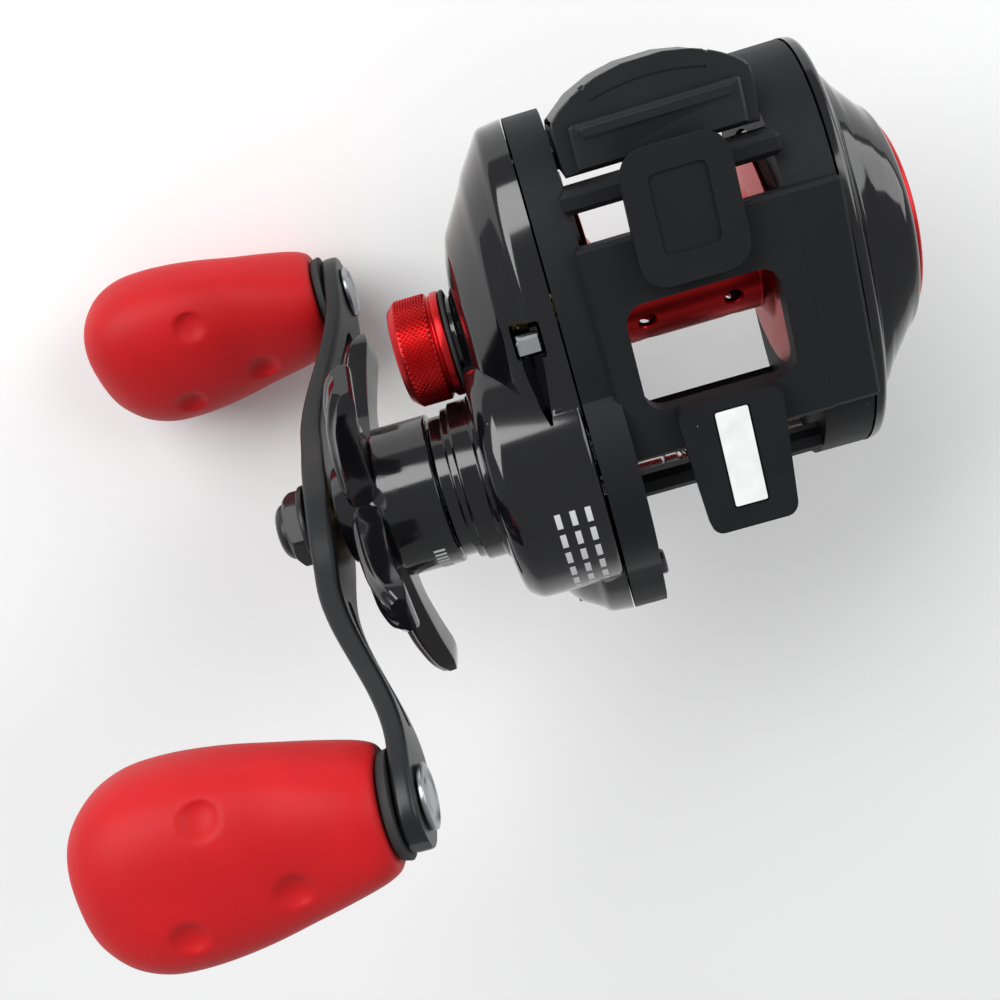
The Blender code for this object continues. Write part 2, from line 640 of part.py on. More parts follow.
def handle_thickness(reach):
    return 3.9 - 1.2 * min(abs(reach) / 40.0, 1.0)


def build_handle():
    stations = ((0, 6.6), (6, 6.1), (12, 4.9), (18, 4.7), (24, 4.8), (30, 5.1), (36, 5.7), (42, 6.2),
                (48, 6.1), (51.0, 4.9), (53.2, 1.6))
    spans = [(-reach, half) for reach, half in stations[:0:-1]] + list(stations)
    rings = []
    for reach, half in spans:
        outer = handle_depth(reach)
        inner = outer + handle_thickness(reach)
        ring = []
        chamfer = 0.5
        for x, across in ((outer, half - chamfer), (outer + chamfer, half), (inner - chamfer, half),
                          (inner, half - chamfer), (inner, chamfer - half),
                          (inner - chamfer, -half), (outer + chamfer, -half), (outer, chamfer - half)):
            y, z = along_handle(reach, across)
            ring.append((x, y, z))
        rings.append(ring)
    arm = loft(rings)
    cut(arm, tube(-62.0, -56.0, 0, 3.1, DRIVE, 20))
    for side in (-1, 1):
        cut(arm, tube(-56.0, -50.0, 0, 2.45, along_handle(side * HANDLE_REACH), 16))
        for first, last in ((17.0, 24.0), (28.5, 35.0)):
            cut(arm, handle_slot(side * first, side * last))
    finish(arm, "handle_arm", "black_satin", on_axis(-59.5, DRIVE))

    nut = turned([(-61.3, 0), (-61.3, 6.2), (-62.1, 6.2), (-62.3, 5.6), (-62.3, 0)], DRIVE, 20)
    hexagon = tube(-64.8, -62.2, 0, 5.7, DRIVE, 6)
    dome = turned([(-64.0, 0), (-64.0, 4.7), (-65.2, 4.4), (-66.0, 3.3), (-66.4, 1.6), (-66.5, 0)],
                  DRIVE, 16)
    join(nut, hexagon, dome)
    cut(nut, tube(-64.9, -61.0, 0, 2.6, DRIVE, 20))
    finish(nut, "handle_nut", "black_satin", on_axis(-63.5, DRIVE))

    for name, x in (("drag_spring_washer_inner", -54.2), ("drag_spring_washer_outer", -55.4)):
        cone = turned([(x, 3.2), (x - 0.35, 3.2), (x + 0.25, 6.2), (x + 0.6, 6.2)], DRIVE, 20)
        finish(cone, name, "brass", on_axis(x, DRIVE))
    finish(tube(-56.8, -55.9, 3.2, 5.6, DRIVE, 20), "handle_spacer", "brass", on_axis(-56.3, DRIVE))

    build_knob("front", 1)
    build_knob("rear", -1)


def handle_slot(first, last):
    """Rounded slot through the arm."""
    points = []
    for end, start in ((last, -pi / 2), (first, pi / 2)):
        sign = 1 if last > first else -1
        for i in range(5):
            angle = start + pi * i / 4
            reach = end + 1.7 * cos(angle) * sign
            points.append(along_handle(reach, 1.7 * sin(angle)))
    return prism_x(points, -63.0, -50.0)


def knob_section(share, radius, angle):
    """(across, deep) of a knob's surface; angle 0 is the middle of a face."""
    ease = min(share / 0.35, 1.0)
    thick = radius * (1.0 - KNOB_FLATTENING * ease * ease * (3 - 2 * ease))
    across, deep = sin(angle), cos(angle)
    power = 2.0 / 2.25
    return (radius * abs(across) ** power * (1 if across >= 0 else -1),
            thick * abs(deep) ** power * (1 if deep >= 0 else -1))


def build_knob(which, side):
    """Egg with two flattened faces, three finger dimples in each."""
    axis = along_handle(side * HANDLE_REACH)
    facing = KNOB_FACING[which]

    def place(share, across, deep):
        """share of the length, distance across the face, distance out of the face"""
        return (KNOB_BASE - share * KNOB_LENGTH,
                axis[0] - across * cos(facing) + deep * sin(facing),
                axis[1] + across * sin(facing) + deep * cos(facing))

    profile = [(0.0, 7.4), (0.02, 8.1), (0.12, 9.1), (0.26, 10.5), (0.42, 12.3), (0.56, 13.4),
               (0.68, KNOB_RADIUS), (0.78, 13.4), (0.87, 11.9), (0.94, 9.3), (0.98, 6.0), (1.0, 2.4)]
    knob = loft([[place(share, *knob_section(share, radius, 2 * pi * i / 24)) for i in range(24)]
                 for share, radius in profile])
    cut(knob, tube(KNOB_BASE + 1.0, KNOB_BASE - 0.9 * KNOB_LENGTH, 0, 3.5, axis, 20))
    for face in (0.0, pi):
        for share, angle in ((0.59, -0.66), (0.69, 0.62), (0.34, 0.4)):
            wide = 13.4 if share > 0.5 else 11.4
            across, deep = knob_section(share, wide, angle + face)
            out = 1.0 if face == 0.0 else -1.0
            cut(knob, ball(place(share, across, deep + 2.1 * out), 3.1, 8))
    finish(knob, "knob_" + which, "red_rubber", on_axis(-76.0, axis))

    collar = turned([(-55.4, 2.5), (-55.4, 6.9), (-55.1, 7.2), (-54.1, 7.2), (-54.1, 2.5)], axis, 20)
    finish(collar, "knob_collar_" + which, "rubber", on_axis(-54.8, axis))
    spindle = turned([(-91.8, 0), (-91.8, 1.7), (-91.4, 2.1), (-50.9, 2.1), (-50.9, 4.3),
                      (-50.3, 4.3), (-50.0, 3.9), (-50.0, 2.6), (-50.5, 1.4), (-50.5, 0)], axis, 16)
    finish(spindle, "knob_spindle_" + which, "steel", on_axis(-76.0, axis))
    finish(tube(-90.0, -56.0, 2.35, 3.25, axis, 18), "knob_bushing_" + which, "nylon",
           on_axis(-73.0, axis))


# ---------------------------------------------------------------- level wind
def build_level_wind():
    profile = [(-22.6, 0), (-22.6, 1.5), (-13.0, 1.5), (-13.0, 2.6)]
    pitch = 5.0
    for i in range(4):
        middle = (i - 1.5) * pitch
        profile += [(middle - 0.75, 2.6), (middle - 0.4, 2.0), (middle + 0.4, 2.0), (middle + 0.75, 2.6)]
    profile += [(13.0, 2.6), (13.0, 1.3), (16.9, 1.3), (16.9, 0)]
    finish(turned(profile, WORM, 14), "worm_shaft", "steel", on_axis(0.0, WORM))

    first = mesh_angle(WORM, DRIVE) + pi / WIND_WORM_TEETH
    gear = prism_x(gear_outline(WIND_WORM_TEETH, WIND_MODULE, WORM, first), -22.2, -20.4)
    cut(gear, tube(-23.0, -19.0, 0, 1.75, WORM, 16))
    finish(gear, "worm_gear", "nylon", on_axis(-21.3, WORM))
    finish(tube(-15.0, 16.9, 0, 1.0, GUIDE_ROD, 14), "guide_rod", "steel", on_axis(0.0, GUIDE_ROD))

    guide = box((-4.4, -26.9, -27.6), (4.4, -18.0, -19.9), 0.7)
    join(guide, box((-3.4, -22.2, -32.9), (3.4, -17.6, -26.8), 0.5))
    join(guide, box((-6.3, -25.9, -33.8), (6.3, -21.6, -26.3), 0.8))
    cut(guide, tube(-7, 7, 0, 2.9, WORM, 20), tube(-7, 7, 0, 1.25, GUIDE_ROD, 14))
    eye = (0.0, -23.7, -30.2)
    cut(guide, rod((0, -28, eye[2]), (0, -14, eye[2]), 3.3, 20))
    cut(guide, rod((0, WORM[0], -22.0), (0, WORM[0], -19.0), 1.5, 14))
    finish(guide, "line_guide", "black_gloss", (0.0, -23.0, -27.0))

    insert = []
    for y, inner, outer in ((-26.2, 2.5, 3.05), (-25.5, 2.1, 3.05), (-22.0, 2.1, 3.05),
                            (-21.3, 2.5, 3.05)):
        insert.append((y, inner, outer))
    rings = [(y, outer) for y, _, outer in insert] + [(y, inner) for y, inner, _ in insert[::-1]]
    verts, faces, steps = [], [], 18
    for y, radius in rings:
        for i in range(steps):
            angle = 2 * pi * i / steps
            verts.append((radius * cos(angle), y, eye[2] + radius * sin(angle)))
    for level in range(len(rings)):
        a, b = level * steps, (level + 1) % len(rings) * steps
        for i in range(steps):
            j = (i + 1) % steps
            faces.append((a + i, a + j, b + j, b + i))
    finish(make(verts, faces), "line_guide_insert", "ceramic", eye)

    pawl = rod((0, WORM[0], -20.9), (0, WORM[0], -19.3), 1.2, 14)
    join(pawl, rod((0, WORM[0], -19.5), (0, WORM[0], -18.2), 2.0, 14))
    finish(pawl, "guide_pawl", "brass", (0.0, WORM[0], -19.5))


# ---------------------------------------------------------------- clutch
def build_clutch():
    outline = thumb_outline()
    top = slab_z(outline, -8.5, -10.6)
    rib = box((-11.0, 25.2, -9.0), (11.0, 31.0, -6.5), 0.4)
    skin_rings = []
    for z, shift in ((-10.0, 0.0), (-18.0, 0.0), (-25.0, -0.8), (-31.0, -3.0), (-34.6, -6.2)):
        outer = [(x, y + shift) for x, y in outline[2:-2]]
        inner = [(x * 0.86, y + shift - 2.2) for x, y in outline[2:-2]]
        skin_rings.append([(x, y, z) for x, y in outer + inner[::-1]])
    skin = loft(skin_rings)
    ends = [box((-12.8, 24.8, -27.0), (-11.2, 30.4, -9.0), 0.3),
            box((11.2, 24.8, -27.0), (12.8, 30.4, -9.0), 0.3)]
    tab = box((-20.2, 24.9, -22.9), (-12.0, 27.4, -18.0), 0.2)
    bar = join(top, rib, skin, *ends)
    join(bar, tab)
    finish(bar, "thumb_bar", "black_satin", (0.0, 28.0, -15.0))

    cam = tube(-20.2, -19.2, 4.6, 8.0, SPOOL, 32)
    arm = [(11.5, -19.5), (24.0, -17.4), (26.4, -17.4), (26.4, -15.8), (22.5, -15.2), (11.0, -16.8)]
    join(cam, prism_x(arm, -20.2, -19.2))
    finish(cam, "clutch_cam", "steel", on_axis(-19.7, SPOOL))

    yoke = box((-22.4, 3.4, -35.0), (-21.4, 6.6, -12.0), 0.0)
    join(yoke, tube(-22.4, -21.4, 0, 4.9, SPOOL, 28))
    slot = box((-23.0, 5.0, -26.4), (-21.0, 12.0, -20.6))
    cut(yoke, tube(-23.0, -21.0, 0, 2.9, SPOOL, 20), slot)
    for z in (-9.0, 9.0):
        cut(yoke, tube(-23.0, -21.0, 0, 1.15, (SPOOL[0], SPOOL[1] + z), 14))
    finish(yoke, "clutch_yoke", "nylon", on_axis(-21.9, SPOOL))
    for name, z in (("yoke_spring_upper", 9.0), ("yoke_spring_lower", -9.0)):
        spring = coil((SPOOL[0], SPOOL[1] + z), -28.3, -23.9, 1.45, 0.22, 4)
        finish(spring, name, "steel", (-26.0, SPOOL[0], SPOOL[1] + z))

    pivot = (-27.6, -11.2)
    pawl = tube(-25.5, -24.4, 0, 1.8, pivot, 12)
    beak = [(-27.0, -9.6), (-24.2, -12.0), (-22.9, -13.6), (-24.0, -14.2), (-27.6, -12.8)]
    join(pawl, prism_x(beak, -25.5, -24.4))
    cut(pawl, tube(-26.0, -24.0, 0, 0.95, pivot, 10))
    finish(pawl, "anti_reverse_pawl", "steel", (-25.0, pivot[0], pivot[1]))


def thumb_outline():
    """Plan view of the thumb bar: straight inner edge, shield-shaped outer edge."""
    half = ((12.7, 24.8), (12.9, 28.0), (12.7, 31.8), (9.6, 34.2), (6.2, 35.6), (2.6, 36.3))
    return list(half) + [(-x, y) for x, y in half[::-1]]


def main():
    clear_scene()
    build_frame()
    build_gear_cover()
    build_palm_side()
    build_spool()
    build_drive()
    build_star()
    build_handle()
    build_level_wind()
    build_clutch()


main()
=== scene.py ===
# %% [markdown]
# # A baitcasting reel, finished in Blender
# This lesson takes a reel whose working parts already fit and gives it its real surfaces.
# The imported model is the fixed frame: every size comes from it, and nothing in it moves.
# Each cell makes one piece or one finish, so you can read them in the order they are built.

# %% Load the working model
import json
from math import cos, pi, radians, sin

import bmesh
import bpy
from mathutils import Euler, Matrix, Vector


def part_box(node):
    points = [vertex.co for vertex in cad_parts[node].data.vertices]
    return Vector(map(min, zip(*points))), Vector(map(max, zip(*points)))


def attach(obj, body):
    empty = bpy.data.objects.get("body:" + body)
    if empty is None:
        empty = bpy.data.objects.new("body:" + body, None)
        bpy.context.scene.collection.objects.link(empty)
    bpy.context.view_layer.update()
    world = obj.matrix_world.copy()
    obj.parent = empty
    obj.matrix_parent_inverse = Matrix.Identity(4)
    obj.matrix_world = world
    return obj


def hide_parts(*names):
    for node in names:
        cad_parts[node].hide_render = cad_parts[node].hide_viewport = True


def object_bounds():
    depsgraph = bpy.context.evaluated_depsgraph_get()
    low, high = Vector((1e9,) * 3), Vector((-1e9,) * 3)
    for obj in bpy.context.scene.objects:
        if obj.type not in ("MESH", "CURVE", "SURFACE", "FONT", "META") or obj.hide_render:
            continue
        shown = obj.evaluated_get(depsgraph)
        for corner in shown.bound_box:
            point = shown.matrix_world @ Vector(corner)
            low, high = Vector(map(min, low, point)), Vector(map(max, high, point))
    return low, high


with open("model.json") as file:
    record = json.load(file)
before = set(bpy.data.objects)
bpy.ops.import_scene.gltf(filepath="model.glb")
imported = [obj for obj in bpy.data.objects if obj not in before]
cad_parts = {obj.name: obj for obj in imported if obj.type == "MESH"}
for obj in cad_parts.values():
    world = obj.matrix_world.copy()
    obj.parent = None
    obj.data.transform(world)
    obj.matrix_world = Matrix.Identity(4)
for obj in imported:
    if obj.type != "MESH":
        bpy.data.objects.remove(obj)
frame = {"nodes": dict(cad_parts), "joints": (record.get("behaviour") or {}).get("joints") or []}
cad_low, cad_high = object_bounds()

# %% [markdown]
# The reel was designed in millimetres measured from the middle of its foot, while the packed
# model is in metres from its mounting point. Reading one known piece, the label in the foot,
# tells how far the two are apart, and the joints give the axes. That way a changed design
# would carry these surfaces along with it.

# %% Units and axes
MM = 0.001
LABEL_AHEAD = 15.1              # the label's centre is this far ahead of the foot's middle
label_low, label_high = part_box("foot_label")
FOOT_Y = (label_low.y + label_high.y) / 2 / MM + LABEL_AHEAD


def axis_of(joint):
    """(y, z) of a joint's axis, in millimetres from the middle of the foot."""
    place = next(j["pos_m"] for j in frame["joints"] if j["name"] == joint)
    return place[1] / MM - FOOT_Y, place[2] / MM


DRIVE = axis_of("handle_turn")
SPOOL = axis_of("spool_spin")
WORM = axis_of("worm_spin")
KNOB_AXES = {"front": axis_of("knob_front_spin"), "rear": axis_of("knob_rear_spin")}
print("foot middle at y = %.1f mm; drive axis at" % FOOT_Y, [round(v, 2) for v in DRIVE])

# %% [markdown]
# ## Shader maths
# Every finish here is painted by nodes, and most of a finish is arithmetic: a noise made
# weaker, a line made from a coordinate, a mask taken away from one. Written node by node
# that is hard to read, so one small class wraps a socket and lets Python's own operators
# add the Math nodes. The same class serves geometry nodes, which have the same Math node.

# %% A socket that does arithmetic
class Wire:
    """A number or vector that flows between nodes."""

    def __init__(self, graph, socket):
        self.graph, self.socket = graph, socket

    def maths(self, operation, *others):
        values = dict(enumerate((self, *others)))
        return self.graph.add("ShaderNodeMath", {"operation": operation}, values)

    def from_number(self, operation, number):
        """The same with a plain number first, for 1 - mask and 1 / mask."""
        return self.graph.add("ShaderNodeMath", {"operation": operation}, {0: number, 1: self})

    def __add__(self, other):
        return self.maths("ADD", other)

    def __mul__(self, other):
        return self.maths("MULTIPLY", other)

    def __sub__(self, other):
        return self.maths("SUBTRACT", other)

    def __rsub__(self, other):
        return self.from_number("SUBTRACT", other)

    def __truediv__(self, other):
        return self.maths("DIVIDE", other)

    def __rtruediv__(self, other):
        return self.from_number("DIVIDE", other)

    def __lt__(self, other):
        return self.maths("LESS_THAN", other)

    def __gt__(self, other):
        return self.maths("GREATER_THAN", other)

    __radd__ = __add__
    __rmul__ = __mul__


class Graph:
    """A node tree that is filled by calls to add()."""

    def __init__(self, tree):
        self.tree = tree

    def add(self, kind, settings=None, values=None, out=0):
        node = self.tree.nodes.new(kind)
        for key, value in (settings or {}).items():
            setattr(node, key, value)
        for key, value in (values or {}).items():
            if isinstance(value, Wire):
                self.tree.links.new(value.socket, node.inputs[key])
            else:
                node.inputs[key].default_value = value
        return Wire(self, node.outputs[out]) if len(node.outputs) else node

    def parts(self, vector):
        """The x, y and z of a vector."""
        split = self.add("ShaderNodeSeparateXYZ", {}, {0: vector})
        return [Wire(self, socket) for socket in split.socket.node.outputs]

    def vector(self, x, y, z):
        return self.add("ShaderNodeCombineXYZ", {}, {0: x, 1: y, 2: z})


print("Wire adds Math nodes for + - * / < >")

# %% [markdown]
# ## What every finish shares
# A finish reads Object coordinates, so its grain keeps its true size on every piece. The
# helpers below give fine grain, the tiny pale flecks of dust that settle on black plastic,
# and the last step, the Principled shader. Values that are the same all over a surface are
# set on the shader itself. Only what changes over the surface is linked.

# %% Finish helpers
class Finish(Graph):
    """A material under construction."""

    def __init__(self, name):
        self.material = bpy.data.materials.new(name)
        self.material.use_nodes = True
        super().__init__(self.material.node_tree)
        self.shader = self.tree.nodes["Principled BSDF"]
        self.place = self.add("ShaderNodeTexCoord", out="Object")

    def noise(self, size, detail=2.0, where=None):
        """Noise from 0 to 1 whose blots are about size millimetres across."""
        values = {"Vector": where or self.place, "Scale": 1.0 / (size * MM), "Detail": detail}
        return self.add("ShaderNodeTexNoise", {}, values)

    def flecks(self, spacing, radius, share):
        """1 inside sparse dots, 0 elsewhere."""
        cells = self.add("ShaderNodeTexVoronoi", {}, {"Vector": self.place,
                                                      "Scale": 1.0 / (spacing * MM)})
        node = cells.socket.node
        chance = self.parts(Wire(self, node.outputs["Color"]))[0]
        return (Wire(self, node.outputs["Distance"]) < radius / spacing) * (chance < share)

    def mix(self, share, first, second):
        """Colour between two colours or wires."""
        node = self.tree.nodes.new("ShaderNodeMix")
        node.data_type = "RGBA"
        self.tree.links.new(share.socket, node.inputs["Factor"])
        for socket, value in ((node.inputs[6], first), (node.inputs[7], second)):
            if isinstance(value, Wire):
                self.tree.links.new(value.socket, socket)
            else:
                socket.default_value = (*value, 1.0)
        return Wire(self, node.outputs[2])

    def bump(self, height, depth):
        """Normal for a height from 0 to 1 that stands depth millimetres proud."""
        return self.add("ShaderNodeBump", {}, {"Height": height, "Distance": depth * MM,
                                               "Strength": 1.0})

    def done(self, colour, roughness, normal=None, **constants):
        self.tree.links.new(colour.socket, self.shader.inputs["Base Color"])
        self.tree.links.new(roughness.socket, self.shader.inputs["Roughness"])
        if normal:
            self.tree.links.new(normal.socket, self.shader.inputs["Normal"])
        for name, value in constants.items():
            self.shader.inputs[name.replace("_", " ")].default_value = value
        return self.material


def tint(colour, factor):
    return tuple(min(c * factor, 1.0) for c in colour)


# %% [markdown]
# ## Moulded plastics and rubber
# The reel has gloss covers, a matt frame and soft-touch knobs. They differ in how rough the
# mould was. Large soft noise shifts the colour a little, fine noise gives the grain, and
# a few flecks of dust keep the black from looking computed.

# %% Moulded finishes
def moulded(name, colour, roughness, grain, depth, dust=0.0, patch=9.0, **constants):
    """Plastic or rubber: grain is the size of its texture and depth its height, in mm."""
    finish = Finish(name)
    cloud = finish.noise(patch, 3.0)
    fine = finish.noise(grain, 2.0)
    base = finish.mix(cloud, tint(colour, 0.8), tint(colour, 1.25))
    rough = roughness + (fine - 0.5) * 0.1 + (cloud - 0.5) * 0.08
    if dust:
        specks = finish.flecks(2.4, 0.07, dust)
        base = finish.mix(specks, base, (0.32, 0.32, 0.33))
        rough = rough + specks * 0.3
    return finish.done(base, rough, finish.bump(fine, depth), **constants)


GLOSS_BLACK = moulded("gloss_black", (0.004, 0.004, 0.005), 0.12, 0.9, 0.002, 0.04,
                      Coat_Weight=0.25, Coat_Roughness=0.05)
FRAME_BLACK = moulded("frame_black", (0.009, 0.0095, 0.011), 0.52, 0.16, 0.012, 0.05,
                      Specular_IOR_Level=0.2)
SATIN_BLACK = moulded("satin_black", (0.009, 0.0095, 0.0105), 0.36, 0.12, 0.006, 0.04,
                      Specular_IOR_Level=0.4)
SOFT_RED = moulded("soft_red", (0.49, 0.007, 0.01), 0.52, 0.11, 0.006, 0.025, 14.0,
                   Specular_IOR_Level=0.22, Sheen_Weight=0.02)
BLACK_RUBBER = moulded("black_rubber", (0.02, 0.02, 0.02), 0.72, 0.2, 0.01)
NYLON = moulded("nylon", (0.74, 0.72, 0.66), 0.45, 0.3, 0.006)
CERAMIC = moulded("ceramic", (0.05, 0.05, 0.056), 0.12, 1.2, 0.001)
MOULDED = (GLOSS_BLACK, FRAME_BLACK, SATIN_BLACK, SOFT_RED, BLACK_RUBBER, NYLON, CERAMIC)
print("moulded finishes:", [finish.name for finish in MOULDED])

# %% [markdown]
# ## Turned metal
# A lathe leaves fine rings. On a round part they depend on the place along its axis, and on
# a flat end on the distance from that axis, so a noise that reads just those two numbers
# gives rings on both. Brushed, anodised and plated parts differ in colour and depth.

# %% Metals
def metal(name, colour, roughness, axis, ring=0.09, depth=0.003):
    """Turned metal with its lathe rings centred on axis, an (y, z) in millimetres."""
    finish = Finish(name)
    x, y, z = finish.parts(finish.place)
    across = y - (axis[0] + FOOT_Y) * MM
    up = z - axis[1] * MM
    reach = (across * across + up * up).maths("SQRT")
    rings = finish.noise(ring, 1.0, finish.vector(x, reach, 0.0))
    cloud = finish.noise(3.0, 3.0)
    base = finish.mix(rings, tint(colour, 0.82), tint(colour, 1.15))
    rough = roughness + (rings - 0.5) * 0.14 + (cloud - 0.5) * 0.12
    return finish.done(base, rough, finish.bump(rings, depth), Metallic=1.0)


RED_CAP = metal("red_anodised_cap", (0.56, 0.022, 0.024), 0.36, SPOOL)
RED_SPOOL = metal("red_anodised_spool", (0.5, 0.016, 0.018), 0.34, SPOOL, 0.12, 0.002)
STEEL_DRIVE = metal("steel_on_drive", (0.58, 0.59, 0.6), 0.27, DRIVE)
STEEL_SPOOL = metal("steel_on_spool", (0.6, 0.6, 0.61), 0.24, SPOOL)
STEEL_WORM = metal("steel_on_worm", (0.62, 0.62, 0.63), 0.22, WORM)
STEEL_DARK = metal("steel_black", (0.1, 0.1, 0.105), 0.34, SPOOL)
BRASS = metal("brass_turned", (0.75, 0.5, 0.17), 0.28, DRIVE)
BRASS_PINION = metal("brass_pinion", (0.78, 0.53, 0.2), 0.25, SPOOL)
print("metals made; rings are centred on the axis each part turns on")

# %% [markdown]
# ## Woven washers and the label
# Drag washers are woven carbon, so their colour is a checker of two weave directions. The
# label in the foot is plain printed film with a paper-like tooth. It carries no lettering.

# %% Weave and label
def woven(name, thread=0.9):
    finish = Finish(name)
    check = finish.add("ShaderNodeTexChecker", {}, {"Vector": finish.place,
                                                    "Scale": 1.0 / (thread * MM)}, out="Fac")
    fibres = finish.noise(0.12)
    base = finish.mix(check, (0.012, 0.012, 0.013), (0.05, 0.05, 0.054))
    return finish.done(base, 0.3 + check * 0.2 + fibres * 0.1, finish.bump(check, 0.02))


CARBON = woven("carbon_weave")
LABEL = moulded("label_film", (0.84, 0.84, 0.83), 0.42, 0.25, 0.004, 0.0, 3.0)
print("weave and label ready")

# %% [markdown]
# ## Print on the gear cover
# Reels carry printed notes on their side. Three rows of plain, even dashes stand in for
# them, with no letters. The rows lie around the gear housing, so each dash is found from
# the angle around the drive axis, and each row from the place along it.

# %% Printed gloss cover
PRINT_ROWS = ((-25.6, 0.4, -0.92, 0.0), (-23.5, 0.4, -0.92, 0.0), (-21.4, 0.4, -0.92, 0.0))
DASHES_PER_RADIAN = 6.0         # evenly spaced, so that they read as a plain pattern
DASH_SHARE = 0.7


def printed_cover():
    finish = Finish("gloss_black_printed")
    x, y, z = finish.parts(finish.place)
    along = x / MM
    angle = (y - (DRIVE[0] + FOOT_Y) * MM).maths("ARCTAN2", z - DRIVE[1] * MM)
    ink = None
    for middle, half, first, last in PRINT_ROWS:
        away = along - middle
        row = away.maths("ABSOLUTE") < half
        reach = (angle > first) * (angle < last)
        step = angle * DASHES_PER_RADIAN
        dashes = row * reach * (step.maths("FRACT") < DASH_SHARE)
        ink = dashes if ink is None else ink.maths("MAXIMUM", dashes)
    cloud = finish.noise(9.0, 3.0)
    specks = finish.flecks(2.4, 0.07, 0.05)
    base = finish.mix(cloud, (0.003, 0.003, 0.004), (0.006, 0.006, 0.007))
    base = finish.mix(specks, base, (0.3, 0.3, 0.31))
    base = finish.mix(ink, base, (0.62, 0.62, 0.63))
    rough = 0.11 + (cloud - 0.5) * 0.06 + ink * 0.3 + specks * 0.3
    return finish.done(base, rough, finish.bump(finish.noise(0.9), 0.002), Coat_Weight=0.25,
                       Coat_Roughness=0.05)


PRINTED_BLACK = printed_cover()
print("print rows:", len(PRINT_ROWS))

# %% [markdown]
# ## Building helpers
# Nearly every piece is either turned around an axis that runs across the reel, or skinned
# over a row of outlines. Real edges are never sharp, so both helpers round their corners:
# a corner is replaced by a short curve that starts and ends a little way along its sides.

# %% Points, rings and turned shapes
def mesh_object(name, verts, faces):
    """Closed mesh from millimetre points, its faces turned outwards."""
    mesh = bpy.data.meshes.new(name)
    mesh.from_pydata([(x * MM, (y + FOOT_Y) * MM, z * MM) for x, y, z in verts], [], faces)
    bm = bmesh.new()
    bm.from_mesh(mesh)
    bmesh.ops.remove_doubles(bm, verts=bm.verts, dist=1e-6)
    bmesh.ops.recalc_face_normals(bm, faces=bm.faces)
    bm.to_mesh(mesh)
    bm.free()
    obj = bpy.data.objects.new(name, mesh)
    bpy.context.collection.objects.link(obj)
    return obj


def bend(before, corner, after, t):
    """Point of the curve that rounds a corner."""
    return tuple((1 - t) ** 2 * a + 2 * t * (1 - t) * b + t * t * c
                 for a, b, c in zip(before, corner, after))


def towards(start, end, reach):
    """Point reach along the way from start to end, at most halfway."""
    length = sum((b - a) ** 2 for a, b in zip(start, end)) ** 0.5
    share = min(reach / length, 0.5) if length > 1e-9 else 0.0
    return tuple(a + (b - a) * share for a, b in zip(start, end))


def soft(points, fillet, steps=4, closed=True):
    """Outline with its corners rounded."""
    made, count = [], len(points)
    for i, corner in enumerate(points):
        if not closed and i in (0, count - 1):
            made.append(corner)
            continue
        before = towards(corner, points[i - 1], fillet)
        after = towards(corner, points[(i + 1) % count], fillet)
        made += [bend(before, corner, after, k / steps) for k in range(steps + 1)]
    return made


def soft_rings(rings, fillet, steps=3):
    """Row of rings with the bends between them rounded, except at both ends."""
    columns = [soft(list(column), fillet, steps, closed=False) for column in zip(*rings)]
    return [list(ring) for ring in zip(*columns)]


def loft(name, rings):
    count = len(rings[0])
    verts = [point for ring in rings for point in ring]
    faces = [tuple(range(count)), tuple(range(len(verts) - count, len(verts)))]
    for level in range(len(rings) - 1):
        for i in range(count):
            j = (i + 1) % count
            a, b = level * count, (level + 1) * count
            faces.append((a + i, a + j, b + j, b + i))
    return mesh_object(name, verts, faces)


def turned(name, profile, axis, steps=96):
    """Closed profile of (x, radius) turned around an axis that runs along X."""
    verts, rings = [], []
    for x, radius in profile:
        count = steps if radius > 1e-6 else 1
        rings.append(range(len(verts), len(verts) + count))
        verts += [(x, axis[0] + radius * sin(2 * pi * i / steps),
                   axis[1] + radius * cos(2 * pi * i / steps)) for i in range(count)]
    faces = []
    for a, b in zip(rings, list(rings[1:]) + [rings[0]]):
        for i in range(steps):
            j = (i + 1) % steps
            corners = [a[i % len(a)], b[i % len(b)], b[j % len(b)], a[j % len(a)]]
            face = [c for k, c in enumerate(corners) if c not in corners[:k]]
            if len(face) > 2:
                faces.append(face)
    return mesh_object(name, verts, faces)


def soft_turned(name, profile, axis, fillet=0.25, steps=96):
    """Turned shape with rounded edges; points on the axis stay where they are."""
    rounded, count = [], len(profile)
    for i, (x, radius) in enumerate(profile):
        if radius < 1e-6:
            rounded.append((x, radius))
            continue
        before = towards((x, radius), profile[i - 1], fillet)
        after = towards((x, radius), profile[(i + 1) % count], fillet)
        rounded += [bend(before, (x, radius), after, k / 3) for k in range(4)]
    return turned(name, rounded, axis, steps)


def prism_x(name, outline, x0, x1):
    return loft(name, [[(x, y, z) for y, z in outline] for x in (x0, x1)])


def tube(name, x0, x1, inner, outer, axis, steps=64):
    return turned(name, [(x0, inner), (x0, outer), (x1, outer), (x1, inner)], axis, steps)


print("helpers ready: points, rings, lofts and turned shapes")

# %% [markdown]
# ## Cutting, joining and finishing
# Boolean modifiers weld and cut closed shapes. The last helper dresses a piece: it shades it
# smooth but keeps real edges, gives it its finish, ties it to the body that it rides on,
# and hides the plain solid whose place it takes.

# %% Boolean and dressing helpers
def applied(obj, name=None):
    """Turn an object's modifiers into plain mesh."""
    graph = bpy.context.evaluated_depsgraph_get()
    mesh = bpy.data.meshes.new_from_object(obj.evaluated_get(graph))
    obj.modifiers.clear()
    obj.data = mesh
    if name:
        obj.name = name
    return obj


def combine(base, others, operation):
    for other in others:
        modifier = base.modifiers.new("combine", "BOOLEAN")
        modifier.operation = operation
        modifier.solver = "EXACT"
        modifier.object = other
        applied(base)
        bpy.data.objects.remove(other, do_unlink=True)
    return base


